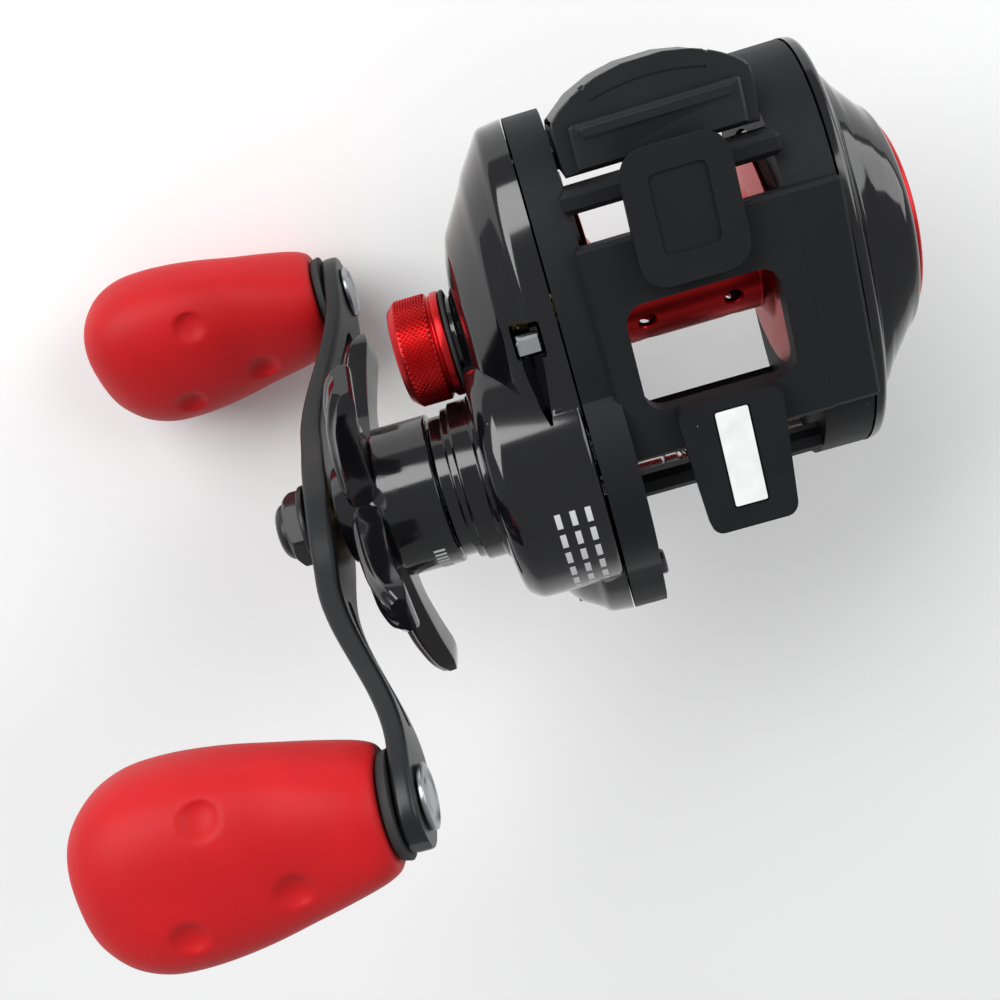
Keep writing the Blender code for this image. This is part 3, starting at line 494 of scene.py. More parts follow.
def weld(base, *others):
    return combine(base, others, "UNION")


def cut(base, *others):
    return combine(base, others, "DIFFERENCE")


def dress(obj, name, body, slot, finish, *nodes, crease=38.0):
    """Shade, paint and place a finished piece."""
    obj.name = name
    obj.data.name = name
    obj.data.materials.clear()
    obj.data.materials.append(finish)
    obj.data.shade_smooth()
    obj.data.set_sharp_from_angle(angle=radians(crease))
    even = obj.modifiers.new("even shading", "WEIGHTED_NORMAL")
    even.keep_sharp = True
    applied(obj)
    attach(obj, body)
    if nodes:
        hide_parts(*nodes)
    print("%-24s %6d faces" % (name, len(obj.data.polygons)))
    return obj


def softened(node, width, angle=32.0, segments=2):
    """Copy of a working solid with its edges rounded by width millimetres."""
    obj = frame["nodes"][node].copy()
    obj.data = obj.data.copy()
    obj.parent = None
    for key in list(obj.keys()):
        del obj[key]
    bpy.context.collection.objects.link(obj)
    bm = bmesh.new()
    bm.from_mesh(obj.data)
    bmesh.ops.remove_doubles(bm, verts=bm.verts, dist=1e-6)
    bmesh.ops.dissolve_limit(bm, angle_limit=radians(0.6), verts=bm.verts, edges=bm.edges)
    bm.to_mesh(obj.data)
    bm.free()
    bevel = obj.modifiers.new("round edges", "BEVEL")
    bevel.limit_method = "ANGLE"
    bevel.angle_limit = radians(angle)
    bevel.width = width * MM
    bevel.segments = segments
    bevel.use_clamp_overlap = True
    return applied(obj)


# %% [markdown]
# ## The knobs
# Each knob is an egg of soft-touch rubber with two flattened faces, and a thumb finds its
# place by three shallow dimples in each. A Boolean cut would leave hard rims, so the surface
# is pressed in instead: every point near a dimple moves inwards by a smooth amount.

# %% Knobs with pressed dimples
KNOB_BASE = -55.7
KNOB_LENGTH = 41.3
KNOB_FACING = {"front": 0.16, "rear": -0.45}
KNOB_FLATTENING, KNOB_SQUARENESS = 0.27, 2.4
KNOB_PROFILE = ((0.0, 7.4), (0.012, 7.95), (0.05, 8.7), (0.12, 9.6), (0.26, 11.2), (0.42, 12.7),
                (0.56, 13.55), (0.68, 13.8), (0.78, 13.4), (0.87, 11.9), (0.94, 9.3),
                (0.975, 6.7), (0.993, 3.6), (1.0, 0.6))
DIMPLES = ((0.5, -0.6), (0.3, 0.28), (0.635, 0.38))
DIMPLE_RADIUS = 2.5
DIMPLE_DEPTH = 1.15


def curve_through(points, steps):
    """Smooth curve through the points of a profile."""
    made = []
    for i in range(len(points) - 1):
        p0, p1 = points[max(i - 1, 0)], points[i]
        p2, p3 = points[i + 1], points[min(i + 2, len(points) - 1)]
        for k in range(steps):
            t = k / steps
            made.append(tuple(0.5 * (2 * b + (c - a) * t + (2 * a - 5 * b + 4 * c - d) * t * t
                                     + (3 * b - a - 3 * c + d) * t ** 3)
                              for a, b, c, d in zip(p0, p1, p2, p3)))
    return made + [points[-1]]


def knob_section(share, radius, angle):
    """(across, out) of the surface; angle 0 is the middle of a face."""
    ease = min(share / 0.35, 1.0)
    thick = radius * (1.0 - KNOB_FLATTENING * ease * ease * (3 - 2 * ease))
    power = 2.0 / KNOB_SQUARENESS
    across, out = sin(angle), cos(angle)
    return (radius * abs(across) ** power * (1 if across >= 0 else -1),
            thick * abs(out) ** power * (1 if out >= 0 else -1))


def make_knob(which, steps=160):
    axis, facing = KNOB_AXES[which], KNOB_FACING[which]
    profile = curve_through(KNOB_PROFILE, 9)
    centres = []
    for face in (0.0, pi):
        for share, angle in DIMPLES:
            wide = 11.5 + 1.9 * min((share - 0.3) / 0.25, 1.0)
            across, out = knob_section(share, wide, angle + face)
            centres.append(Vector((share * KNOB_LENGTH, across, out)))
    rings = []
    for share, radius in profile:
        ring = []
        for i in range(steps):
            across, out = knob_section(share, radius, 2 * pi * i / steps)
            here = Vector((share * KNOB_LENGTH, across, out))
            for centre in centres:
                near = max(1.0 - ((here - centre).length / DIMPLE_RADIUS) ** 2, 0.0)
                out -= DIMPLE_DEPTH * near ** 0.8 * (1 if centre.z > 0 else -1)
            ring.append((KNOB_BASE - here.x,
                         axis[0] - across * cos(facing) + out * sin(facing),
                         axis[1] + across * sin(facing) + out * cos(facing)))
        rings.append(ring)
    knob = loft("knob", rings)
    return cut(knob, tube("bore", KNOB_BASE + 1, KNOB_BASE - 37.0, 0, 3.5, axis))


for which in ("front", "rear"):
    dress(make_knob(which), "knob_%s_skin" % which, "knob_" + which, "red_rubber", SOFT_RED,
          "knob_" + which, crease=60)

# %% [markdown]
# ## Knob collars and spindles
# A black rubber collar closes each knob's neck. The spindle is riveted through the handle:
# its head sits in a ring in the arm's inner face.

# %% Collars and rivets
for which, axis in KNOB_AXES.items():
    collar = soft_turned("collar", [(-55.4, 2.5), (-55.4, 6.9), (-54.1, 7.2), (-54.1, 2.5)], axis)
    dress(collar, "knob_collar_%s_ring" % which, "handle", "rubber", BLACK_RUBBER,
          "knob_collar_" + which)
    rivet = soft_turned("rivet", [(-91.8, 0), (-91.8, 2.1), (-50.9, 2.1), (-50.9, 4.3),
                                  (-50.2, 4.3), (-50.0, 3.7), (-50.35, 3.3), (-50.35, 2.6),
                                  (-50.1, 2.2), (-50.1, 0)], axis, 0.15)
    finish = metal("rivet_" + which, (0.4, 0.41, 0.43), 0.3, axis)
    dress(rivet, "knob_rivet_" + which, "handle", "steel", finish, "knob_spindle_" + which)

# %% [markdown]
# ## The handle arm
# The arm is a thick strap that sweeps in towards the body at both ends. Its outline and
# depth change smoothly, so it is skinned over many rounded sections, and its slots and holes
# are cut afterwards. The rounded corners of its sections are what catch the light.

# %% Handle arm
HANDLE_ANGLE = 1.012
HANDLE_REACH = 46.9
ARM_HALF_WIDTHS = ((0, 6.6), (6, 6.1), (12, 4.95), (18, 4.7), (24, 4.8), (30, 5.1), (36, 5.7),
                   (42, 6.2), (47, 6.2), (50.5, 5.2), (52.4, 3.4), (53.2, 1.2))


def along_handle(reach, across=0.0):
    """(y, z) at a distance along the arm; positive reach is the front knob's end."""
    return (DRIVE[0] - reach * cos(HANDLE_ANGLE) + across * sin(HANDLE_ANGLE),
            DRIVE[1] + reach * sin(HANDLE_ANGLE) + across * cos(HANDLE_ANGLE))


def arm_ring(reach, half):
    share = min(max((abs(reach) - 13.0) / 29.0, 0.0), 1.0)
    outer = -61.0 + 7.2 * share * share * (3 - 2 * share)
    inner = outer + 3.9 - 1.2 * min(abs(reach) / 40.0, 1.0)
    corners = [(outer, half), (inner, half), (inner, -half), (outer, -half)]
    return [(x, *along_handle(reach, across)) for x, across in soft(corners, 0.9, 5)]


def slot_outline(first, last, half=1.7):
    points = []
    for i in range(24):
        angle = 2 * pi * i / 24
        end = last if cos(angle) > 0 else first
        points.append(along_handle(end + half * cos(angle), half * sin(angle)))
    return points


widths = curve_through(ARM_HALF_WIDTHS, 4)
stations = [(-reach, half) for reach, half in widths[:0:-1]] + widths
arm = loft("arm", [arm_ring(reach, half) for reach, half in stations])
cut(arm, tube("nut hole", -62.0, -56.0, 0, 3.1, DRIVE))
for side in (-1, 1):
    cut(arm, tube("knob hole", -56.0, -50.0, 0, 2.45, along_handle(side * HANDLE_REACH)))
    for first, last in ((17.0, 24.0), (28.5, 35.0)):
        ends = sorted((side * first, side * last))
        cut(arm, prism_x("slot", slot_outline(*ends), -63.0, -50.0))
dress(arm, "handle_strap", "handle", "black_satin", SATIN_BLACK, "handle_arm")

# %% [markdown]
# ## The handle nut
# A hexagon whose corners are turned down to a circle, as on a bought nut: the hexagon is cut
# by a turned blank. A flange spreads the load and a domed cap hides the shaft's end.

# %% Handle nut
hexagon = tube("hexagon", -64.8, -62.0, 0, 5.9, DRIVE, 6)
blank = soft_turned("blank", [(-65.0, 0), (-65.0, 4.6), (-64.0, 5.75), (-61.9, 5.75),
                              (-61.9, 0)], DRIVE, 0.2)
combine(hexagon, [blank], "INTERSECT")
flange = soft_turned("flange", [(-61.3, 0), (-61.3, 6.2), (-62.1, 6.2), (-62.35, 5.6),
                                (-62.35, 0)], DRIVE, 0.3)
dome = soft_turned("dome", [(-64.0, 0), (-64.0, 4.4), (-65.6, 4.3), (-66.5, 3.2), (-66.5, 0)],
                   DRIVE, 0.7)
weld(flange, hexagon, dome)
cut(flange, tube("thread", -64.6, -61.0, 0, 2.6, DRIVE))
dress(flange, "handle_nut_domed", "handle", "black_satin", SATIN_BLACK, "handle_nut")

# %% [markdown]
# ## The star drag
# Five arms reach out from a dial tube and bend towards the body, so a fingertip can turn the
# drag without leaving the knob. Each arm narrows, then widens to a paddle with a ridge.

# %% Star drag
STAR_TURN = 0.412
STAR_ARMS = 5
SCALLOP_REACH = 14.6
STAR_STEPS = ((6.5, -53.9, -49.6, 6.4), (9.5, -54.2, -49.3, 5.6), (12.5, -54.1, -49.3, 3.9),
              (16.0, -53.6, -49.0, 3.4), (21.6, -52.4, -47.9, 4.0), (25.4, -50.9, -46.9, 4.3),
              (27.3, -49.6, -47.2, 2.9))


def star_arm(angle):
    out, side = (sin(angle), cos(angle)), (cos(angle), -sin(angle))
    rings = []
    for radius, x_out, x_in, half in STAR_STEPS:
        edge = [(0.6, 0.0), (0.55, 0.34), (0.0, 0.5), (0.1, 0.72), (1.0, 0.84), (1.2, 1.0)]
        corners = [(x_out + rise, half * part) for rise, part in edge]
        corners += [(x_in, half * 0.9), (x_in, -half * 0.9)]
        corners += [(x_out + rise, -half * part) for rise, part in edge[:0:-1]]
        rings.append([(x, DRIVE[0] + out[0] * radius + side[0] * across,
                       DRIVE[1] + out[1] * radius + side[1] * across)
                      for x, across in soft(corners, 0.35, 2)])
    return loft("star arm", soft_rings(rings, 1.6, 4))


star = soft_turned("star", [(-40.75, 9.2), (-40.75, 11.3), (-49.0, 11.3), (-51.4, 9.8),
                            (-54.2, 8.4), (-56.4, 7.3), (-56.4, 6.6), (-53.2, 6.6), (-53.2, 3.1),
                            (-49.4, 3.1), (-49.4, 9.2)], DRIVE, 0.35, 120)
for i in range(STAR_ARMS):
    angle = STAR_TURN + 2 * pi * i / STAR_ARMS
    y, z = DRIVE[0] + SCALLOP_REACH * sin(angle), DRIVE[1] + SCALLOP_REACH * cos(angle)
    cut(star, turned("scallop", [(-56.0, 0), (-56.0, 6.2), (-49.6, 4.6), (-47.2, 2.4),
                                 (-46.4, 0)], (y, z), 48))
for i in range(STAR_ARMS):
    weld(star, star_arm(STAR_TURN + radians(360 * (i + 0.5) / STAR_ARMS)))
dress(star, "star_drag_wheel", "star_drag", "black_gloss", GLOSS_BLACK, "star_drag")

# %% [markdown]
# ## Marks around the drag dial
# The dial tube carries a short row of pale marks, so an angler can find a setting again.
# They repeat around an axis, which is what Geometry Nodes do well: one small bar is placed
# Count times, a step further round each time. The tree has named inputs, ends in Realize
# Instances and Set Material, and is turned into plain mesh before the piece is placed.

# %% Geometry nodes: a ring of bars
def node_group(name, inputs):
    """Empty geometry tree; returns it as a Graph, its inputs as wires and their identifiers."""
    tree = bpy.data.node_groups.new(name, "GeometryNodeTree")
    identifiers = {}
    for label, kind in inputs.items():
        socket = tree.interface.new_socket(name=label, in_out="INPUT", socket_type=kind)
        identifiers[label] = socket.identifier
    tree.interface.new_socket(name="Geometry", in_out="OUTPUT", socket_type="NodeSocketGeometry")
    graph = Graph(tree)
    source = tree.nodes.new("NodeGroupInput")
    wires = {label: Wire(graph, source.outputs[label]) for label in inputs}
    return graph, wires, identifiers


def end_group(graph, instances, finish):
    real = graph.add("GeometryNodeRealizeInstances", {}, {0: instances})
    painted = graph.add("GeometryNodeSetMaterial", {}, {"Geometry": real, "Material": finish})
    output = graph.tree.nodes.new("NodeGroupOutput")
    graph.tree.links.new(painted.socket, output.inputs[0])


def ring_of_bars(name, finish):
    number, length, size = "NodeSocketInt", "NodeSocketFloat", "NodeSocketVector"
    graph, wire, ids = node_group(name, {"Count": number, "Radius": length, "Along": length,
                                         "Centre Y": length, "Centre Z": length,
                                         "First Angle": length, "Step Angle": length,
                                         "Bar Size": size})
    points = graph.add("GeometryNodePoints", {}, {"Count": wire["Count"]})
    index = graph.add("GeometryNodeInputIndex")
    angle = index * wire["Step Angle"] + wire["First Angle"]
    sine, cosine = angle.maths("SINE"), angle.maths("COSINE")
    place = graph.vector(wire["Along"], wire["Centre Y"] + sine * wire["Radius"],
                         wire["Centre Z"] + cosine * wire["Radius"])
    placed = graph.add("GeometryNodeSetPosition", {}, {"Geometry": points, "Position": place})
    bar = graph.add("GeometryNodeMeshCube", {}, {"Size": wire["Bar Size"]})
    turn = graph.vector(0.0 - angle, 0.0, 0.0)
    bars = graph.add("GeometryNodeInstanceOnPoints", {},
                     {"Points": placed, "Instance": bar, "Rotation": turn})
    bars = graph.add("GeometryNodeRotateInstances", {}, {"Instances": bars,
                                                         "Rotation": (pi, 0.0, 0.0)})
    end_group(graph, bars, finish)
    return graph.tree, ids


def grown(name, tree, identifiers, values):
    """Run a geometry tree once and keep its result as plain mesh."""
    obj = bpy.data.objects.new(name, bpy.data.meshes.new(name))
    bpy.context.collection.objects.link(obj)
    modifier = obj.modifiers.new(name, "NODES")
    modifier.node_group = tree
    for label, value in values.items():
        modifier[identifiers[label]] = value
    return applied(obj)


PRINT_WHITE = moulded("print_white", (0.7, 0.7, 0.7), 0.4, 0.2, 0.001)
bars_tree, bars_ids = ring_of_bars("ring of bars", PRINT_WHITE)


def bars_around(name, axis, along, radius, count, first, step, size):
    return grown(name, bars_tree, bars_ids,
                 {"Count": count, "Radius": radius * MM, "Along": along * MM,
                  "Centre Y": (axis[0] + FOOT_Y) * MM, "Centre Z": axis[1] * MM,
                  "First Angle": first, "Step Angle": step,
                  "Bar Size": [v * MM for v in size]})


marks = bars_around("drag marks", DRIVE, -43.4, 11.3, 10, -0.5, -0.085, (1.7, 0.42, 0.07))
dress(marks, "drag_dial_marks", "star_drag", "white_label", PRINT_WHITE)

# %% [markdown]
# ## Springs and spacer under the handle
# Two cupped brass washers press the drag together, and a brass spacer sits under the arm.
# Only a glimpse of them shows, and that glint is worth having.

# %% Brass under the handle
for name, x in (("inner", -54.2), ("outer", -55.4)):
    cup = soft_turned("cup", [(x, 3.2), (x - 0.35, 3.2), (x + 0.25, 6.2), (x + 0.6, 6.2)],
                      DRIVE, 0.1)
    node = "drag_spring_washer_" + name
    dress(cup, "cupped_washer_" + name, "handle", "brass", BRASS, node)
spacer = soft_turned("spacer", [(-56.8, 3.2), (-56.8, 5.6), (-55.9, 5.6), (-55.9, 3.2)], DRIVE,
                     0.15)
dress(spacer, "handle_spacer_ring", "handle", "brass", BRASS, "handle_spacer")

# %% [markdown]
# ## The cast control cap
# A red anodised cap with a diamond knurl. Cut knurling is a field of small pyramids, row
# above row and each row half a step on. Geometry Nodes place one four-sided cone for each
# pyramid on the turned cap; the count around and the rows set the pitch.

# %% Geometry nodes: diamond knurl
def knurl_tree(finish):
    number, length = "NodeSocketInt", "NodeSocketFloat"
    graph, wire, ids = node_group("diamond knurl", {"Around": number, "Rows": number,
                                                    "Radius": length, "First Row": length,
                                                    "Half Pitch": length, "Height": length,
                                                    "Centre Y": length, "Centre Z": length})
    points = graph.add("GeometryNodePoints", {}, {"Count": wire["Around"] * wire["Rows"]})
    index = graph.add("GeometryNodeInputIndex")
    row = ((index + 0.5) / wire["Around"]).maths("FLOOR")
    column = index - row * wire["Around"]
    shift = row.maths("MODULO", 2.0) * 0.5
    angle = (column + shift) * (2 * pi) / wire["Around"]
    sine, cosine = angle.maths("SINE"), angle.maths("COSINE")
    place = graph.vector(wire["First Row"] - row * wire["Half Pitch"],
                         wire["Centre Y"] + sine * wire["Radius"],
                         wire["Centre Z"] + cosine * wire["Radius"])
    placed = graph.add("GeometryNodeSetPosition", {}, {"Geometry": points, "Position": place})
    cone = graph.add("GeometryNodeMeshCone", {"fill_type": "NGON"},
                     {"Vertices": 4, "Side Segments": 1, "Radius Top": wire["Half Pitch"] * 0.25,
                      "Radius Bottom": wire["Half Pitch"], "Depth": wire["Height"]})
    cones = graph.add("GeometryNodeInstanceOnPoints", {},
                      {"Points": placed, "Instance": cone,
                       "Rotation": graph.vector(0.0 - angle, 0.0, 0.0)})
    end_group(graph, cones, finish)
    return graph.tree, ids


KNURL_AROUND, KNURL_ROWS, KNURL_RADIUS = 60, 11, 7.66
HALF_PITCH = pi * KNURL_RADIUS / KNURL_AROUND
knurl, knurl_ids = knurl_tree(RED_CAP)
cones = grown("knurl", knurl, knurl_ids,
              {"Around": KNURL_AROUND, "Rows": KNURL_ROWS, "Radius": KNURL_RADIUS * MM,
               "First Row": -36.2 * MM, "Half Pitch": HALF_PITCH * MM, "Height": 0.27 * MM,
               "Centre Y": (SPOOL[0] + FOOT_Y) * MM, "Centre Z": SPOOL[1] * MM})
dress(cones, "cast_cap_knurl", "cast_control_cap", "red_metal", RED_CAP, crease=20)
cap = soft_turned("cap", [(-33.9, 6.8), (-33.9, 7.75), (-35.0, 7.75), (-35.35, 7.25),
                          (-35.6, 7.25), (-35.8, 7.7), (-40.6, 7.7), (-41.7, 6.7), (-41.7, 0),
                          (-39.5, 0), (-39.5, 6.8)], SPOOL, 0.25, 120)
dress(cap, "cast_cap_turned", "cast_control_cap", "red_metal", RED_CAP, "cast_control_cap")
ring = soft_turned("ring", [(-33.75, 6.8), (-33.75, 7.7), (-33.1, 7.7), (-33.1, 6.8)], SPOOL, 0.3)
dress(ring, "cap_o_ring_round", "frame", "rubber", BLACK_RUBBER, "cap_o_ring")
print("pyramids in the knurl:", KNURL_AROUND * KNURL_ROWS, "half pitch %.3f mm" % HALF_PITCH)

# %% [markdown]
# ## The gear cover
# One gloss moulding covers the gears. Its rim follows the frame, its round housing stands
# around the drive gear, and two necks carry the cast cap and the drag tube. The shoulder is
# skinned over a row of outlines with soft bends; the housing and necks are turned. All are
# welded, and then the hollow inside is cut out, so the gears have their room.

# %% Gear cover
def plate_outline(rear, front, top, bottom, rear_z, front_z, inset=0.0, count=144, middle=1.0):
    """Side outline in (y, z) made of four rounded quarters."""
    rear, front = rear - inset, front + inset
    top, bottom = top - inset, bottom + inset
    points = []
    for i in range(count):
        across, along = cos(2 * pi * i / count), sin(2 * pi * i / count)
        reach = rear - middle if across >= 0 else middle - front
        centre = rear_z if across >= 0 else front_z
        height = top - centre if along >= 0 else centre - bottom
        power = 2.0 / (2.2 if across >= 0 else 2.4)
        points.append((middle + reach * abs(across) ** power * (1 if across >= 0 else -1),
                       centre + height * abs(along) ** power * (1 if along >= 0 else -1)))
    return points


def circle(axis, radius, count=144):
    return [(axis[0] + radius * cos(2 * pi * i / count), axis[1] + radius * sin(2 * pi * i / count))
            for i in range(count)]


def blend(first, second, share):
    return [tuple(a + (b - a) * share for a, b in zip(p, q)) for p, q in zip(first, second)]


COVER_STEPS = ((-18.7, 33.0, -44.0, -3.5, -44.5), (-22.2, 32.6, -43.7, -3.8, -44.2),
               (-23.0, 31.4, -42.8, -4.6, -43.6), (-25.9, 27.4, -41.0, -5.9, -42.4),
               (-26.8, 25.6, -40.2, -6.9, -41.6), (-30.4, 20.0, -35.6, -11.0, -37.6),
               (-31.3, 16.8, -33.6, -12.8, -35.8), (-32.2, 11.5, -28.5, -16.2, -32.0))
INNER_STEPS = ((-17.0, 31.2, -42.2, -5.3, -42.7), (-24.0, 28.0, -40.0, -6.5, -41.6),
               (-27.0, 21.2, -37.0, -9.4, -38.8), (-30.2, 10.0, -27.0, -17.6, -30.4))


def shell(steps):
    return [[(x, y, z) for y, z in plate_outline(rear, front, top, bottom, -23.0, -28.0)]
            for x, rear, front, top, bottom in steps]


cover = loft("cover", soft_rings(shell(COVER_STEPS), 0.7, 4))
housing = soft_turned("housing", [(-18.75, 0), (-18.75, 19.6), (-31.0, 19.6), (-32.9, 18.3),
                                  (-33.4, 16.2), (-33.4, 0)], DRIVE, 0.8, 144)
boss = soft_turned("boss", [(-30.0, 0), (-30.0, 13.4), (-34.2, 12.6), (-34.4, 12.0),
                            (-37.2, 12.0), (-37.35, 11.4), (-38.4, 11.4), (-38.5, 10.6),
                            (-40.4, 10.6), (-40.4, 0)], DRIVE, 0.2, 120)
neck = soft_turned("neck", [(-28.0, 0), (-28.0, 9.6), (-31.4, 8.6), (-32.2, 7.4), (-32.3, 6.5),
                            (-38.9, 6.5), (-38.9, 0)], SPOOL, 0.3, 96)
weld(cover, housing, boss, neck)
cut(cover, tube("cap room", -41.0, -32.85, 6.53, 8.3, SPOOL, 96))
cut(cover, loft("inside", shell(INNER_STEPS)))
cut(cover, turned("gear room", [(-17.0, 0), (-17.0, 18.55), (-31.3, 18.55), (-32.0, 17.4),
                                (-32.0, 0)], DRIVE, 96))
cut(cover, tube("drag bore", -31.0, -41.0, 0, 9.1, DRIVE, 96))
cut(cover, tube("cap bore", -26.0, -39.5, 0, 4.7, SPOOL, 64))
print("cover faces so far:", len(cover.data.polygons))

# %% [markdown]
# A small port in the cover shows the latch that frees it, and a flame-shaped groove runs
# forward from the port. The screw lugs inside are part of the same moulding.

# %% Port, groove and screw posts
def block(name, low, high):
    corners = [(low[0], low[1]), (high[0], low[1]), (high[0], high[1]), (low[0], high[1])]
    return loft(name, [[(x, y, z) for x, y in soft(corners, 0.5, 3)] for z in (low[2], high[2])])


PORT_LOW, PORT_HIGH = (-25.0, 4.3, -9.5), (-21.0, 9.2, -2.0)
cut(cover, block("port", PORT_LOW, PORT_HIGH))
flame = []
for y, x, half, deep in ((6.4, -23.4, 1.75, 2.0), (3.0, -23.4, 1.6, 1.9), (0.0, -23.3, 1.15, 1.4),
                         (-2.8, -23.1, 0.6, 0.8), (-5.0, -22.9, 0.12, 0.2)):
    flame.append([(x - half, y, -2.6), (x + half, y, -2.6), (x + half, y, -4.5),
                  (x + half * 0.2, y, -4.6 - deep), (x - half, y, -4.9)])
cut(cover, loft("flame", flame))
for (y, z), reach in zip(((-37.6, -22.5), (20.5, -37.4), (-3.0, -41.5)), (-26.5, -24.4, -24.8)):
    weld(cover, tube("post", -18.8, reach, 0, 2.7, (y, z), 32))
    cut(cover, tube("thread", -18.0, reach + 1.2, 0, 1.4, (y, z), 32))
dress(cover, "gear_cover_moulding", "frame", "black_gloss", PRINTED_BLACK, "gear_side_cover")

# %% [markdown]
# ## The palm cover
# The palm side is a stepped dome: a lip against the frame, a hollow band, a sloping band and
# a round top with a red ring let into it. The outlines pass from the frame's shape to a
# circle around the spool.

# %% Palm cover
def palm_outline(inset=0.0):
    return plate_outline(32.5, -27.0, -4.0, -44.0, -24.0, -30.0, inset)


palm_steps = [(20.5, palm_outline()), (21.7, palm_outline(0.1)), (22.2, palm_outline(0.8)),
              (22.9, blend(palm_outline(3.0), circle(SPOOL, 17.6), 0.12)),
              (24.3, blend(palm_outline(3.4), circle(SPOOL, 17.6), 0.34)),
              (24.9, blend(palm_outline(3.4), circle(SPOOL, 17.4), 0.5)),
              (26.9, blend(palm_outline(3.6), circle(SPOOL, 17.0), 0.8)),
              (28.3, circle(SPOOL, 16.7)), (29.2, circle(SPOOL, 16.1)), (29.6, circle(SPOOL, 15.2))]
palm = loft("palm", soft_rings([[(x, y, z) for y, z in ring] for x, ring in palm_steps], 0.45, 4))
weld(palm, tube("spigot", 13.9, 21.5, 0, 16.9, SPOOL, 120))
cut(palm, turned("brake room", [(15.3, 6.3), (15.3, 15.5), (25.6, 15.5), (27.6, 14.2), (27.6, 0),
                                (20.0, 0), (20.0, 6.3)], SPOOL, 96))
cut(palm, tube("shaft room", 13.0, 17.0, 0, 3.2, SPOOL), tube("seat", 16.6, 20.5, 0, 4.75, SPOOL),
    tube("dial bore", 27.0, 30.5, 0, 2.3, SPOOL), tube("groove", 28.7, 30.5, 12.5, 14.3, SPOOL, 120))
for y, z in ((-22.6, -36.4), (26.0, -31.0)):
    cut(palm, tube("pin hole", 20.0, 21.9, 0, 1.4, (y, z), 32))
dress(palm, "palm_cover_moulding", "frame", "black_gloss", GLOSS_BLACK, "palm_side_cover")

# %% [markdown]
# The red ring is turned aluminium. The brake dial inside it has a raised finger grip and a
# ribbed edge, made by the same ring-of-bars tree as the drag marks.

# %% Trim ring and brake dial
trim = soft_turned("trim", [(29.0, 12.8), (29.0, 14.0), (30.2, 14.0), (30.6, 13.6), (30.6, 13.1),
                            (30.3, 12.8)], SPOOL, 0.2, 120)
dress(trim, "palm_ring_red", "frame", "red_metal", RED_CAP, "palm_trim_ring")
dial = soft_turned("dial", [(24.6, 0), (24.6, 2.0), (29.9, 2.0), (29.9, 11.7), (30.6, 11.7),
                            (30.9, 10.8), (30.6, 7.6), (30.6, 0)], SPOOL, 0.3, 120)
grip = []
for x, half_long, half_wide in ((30.2, 7.4, 2.1), (31.1, 7.2, 1.9), (31.55, 6.6, 1.3)):
    corners = [(half_long, half_wide), (-half_long, half_wide), (-half_long, -half_wide),
               (half_long, -half_wide)]
    grip.append([(x, SPOOL[0] + a, SPOOL[1] + b) for a, b in soft(corners, 1.6, 5)])
weld(dial, loft("grip", soft_rings(grip, 0.4)))
dress(dial, "brake_dial_turned", "brake_dial", "black_gloss", GLOSS_BLACK, "brake_dial")
ribs = bars_around("ribs", SPOOL, 30.3, 11.85, 48, 0.0, 2 * pi / 48, (0.7, 0.5, 0.45))
dress(ribs, "brake_dial_ribs", "brake_dial", "black_gloss", GLOSS_BLACK)
dots = bars_around("dots", SPOOL, 30.86, 9.4, 7, 0.9, 0.2, (0.08, 0.5, 0.9))
dress(dots, "brake_dial_marks", "brake_dial", "white_label", PRINT_WHITE)

# %% [markdown]
# ## The spool
# The spool is turned from bar, then drilled all round to make it lighter, and anodised red.
# The drills leave a small countersink, so each hole is cut twice: by a drill and by a cone.

# %% Spool
def radial_cone(name, x, angle, near, far, near_radius, far_radius, steps=24):
    """Cone frustum that points out from the spool's axis."""
    out, side = (sin(angle), cos(angle)), (cos(angle), -sin(angle))
    rings = []
    for reach, radius in ((near, near_radius), (far, far_radius)):
        rings.append([(x + radius * cos(2 * pi * i / steps),
                       SPOOL[0] + out[0] * reach + side[0] * radius * sin(2 * pi * i / steps),
                       SPOOL[1] + out[1] * reach + side[1] * radius * sin(2 * pi * i / steps))
                      for i in range(steps)])
    return loft(name, rings)


spool = soft_turned("spool", [(-12.6, 16.5), (-11.95, 16.5), (-11.5, 9.6), (-10.4, 7.4),
                              (10.4, 7.4), (11.5, 9.6), (11.95, 16.5), (12.6, 16.5),
                              (12.1, 9.6), (10.9, 6.5), (2.0, 6.3), (2.0, 1.5), (-2.0, 1.5),
                              (-2.0, 6.3), (-10.9, 6.5), (-12.1, 9.6)], SPOOL, 0.35, 120)
HOLES_PER_ROW = 8
for row, first in ((-6.2, 0.3), (6.2, 1.08)):
    for i in range(HOLES_PER_ROW):
        angle = first + 2 * pi * i / HOLES_PER_ROW
        cut(spool, radial_cone("drill", row, angle, 4.6, 9.0, 1.1, 1.1),
            radial_cone("countersink", row, angle, 6.9, 7.9, 0.9, 1.9))
dress(spool, "spool_turned", "spool", "red_metal", RED_SPOOL, "spool")

# %% [markdown]
# ## Frame and small black parts
# These solids already have their true shape, only their edges are too crisp. A copy of each
# gets a narrow bevel, which is what makes moulded and machined parts look solid: the light
# runs along every edge.

# %% Softened copies
dress(softened("frame", 0.35, 30, 3), "frame_moulding", "frame", "black_frame", FRAME_BLACK, "frame")
dress(softened("line_guide", 0.3, 30, 2), "line_guide_moulding", "line_guide", "black_gloss",
      GLOSS_BLACK, "line_guide")
dress(softened("side_port_latch", 0.12, 30, 2), "port_latch_plate", "side_port_latch", "steel",
      STEEL_SPOOL, "side_port_latch")
dress(softened("foot_label", 0.05, 30, 2), "foot_label_film", "frame", "white_label", LABEL,
      "foot_label")

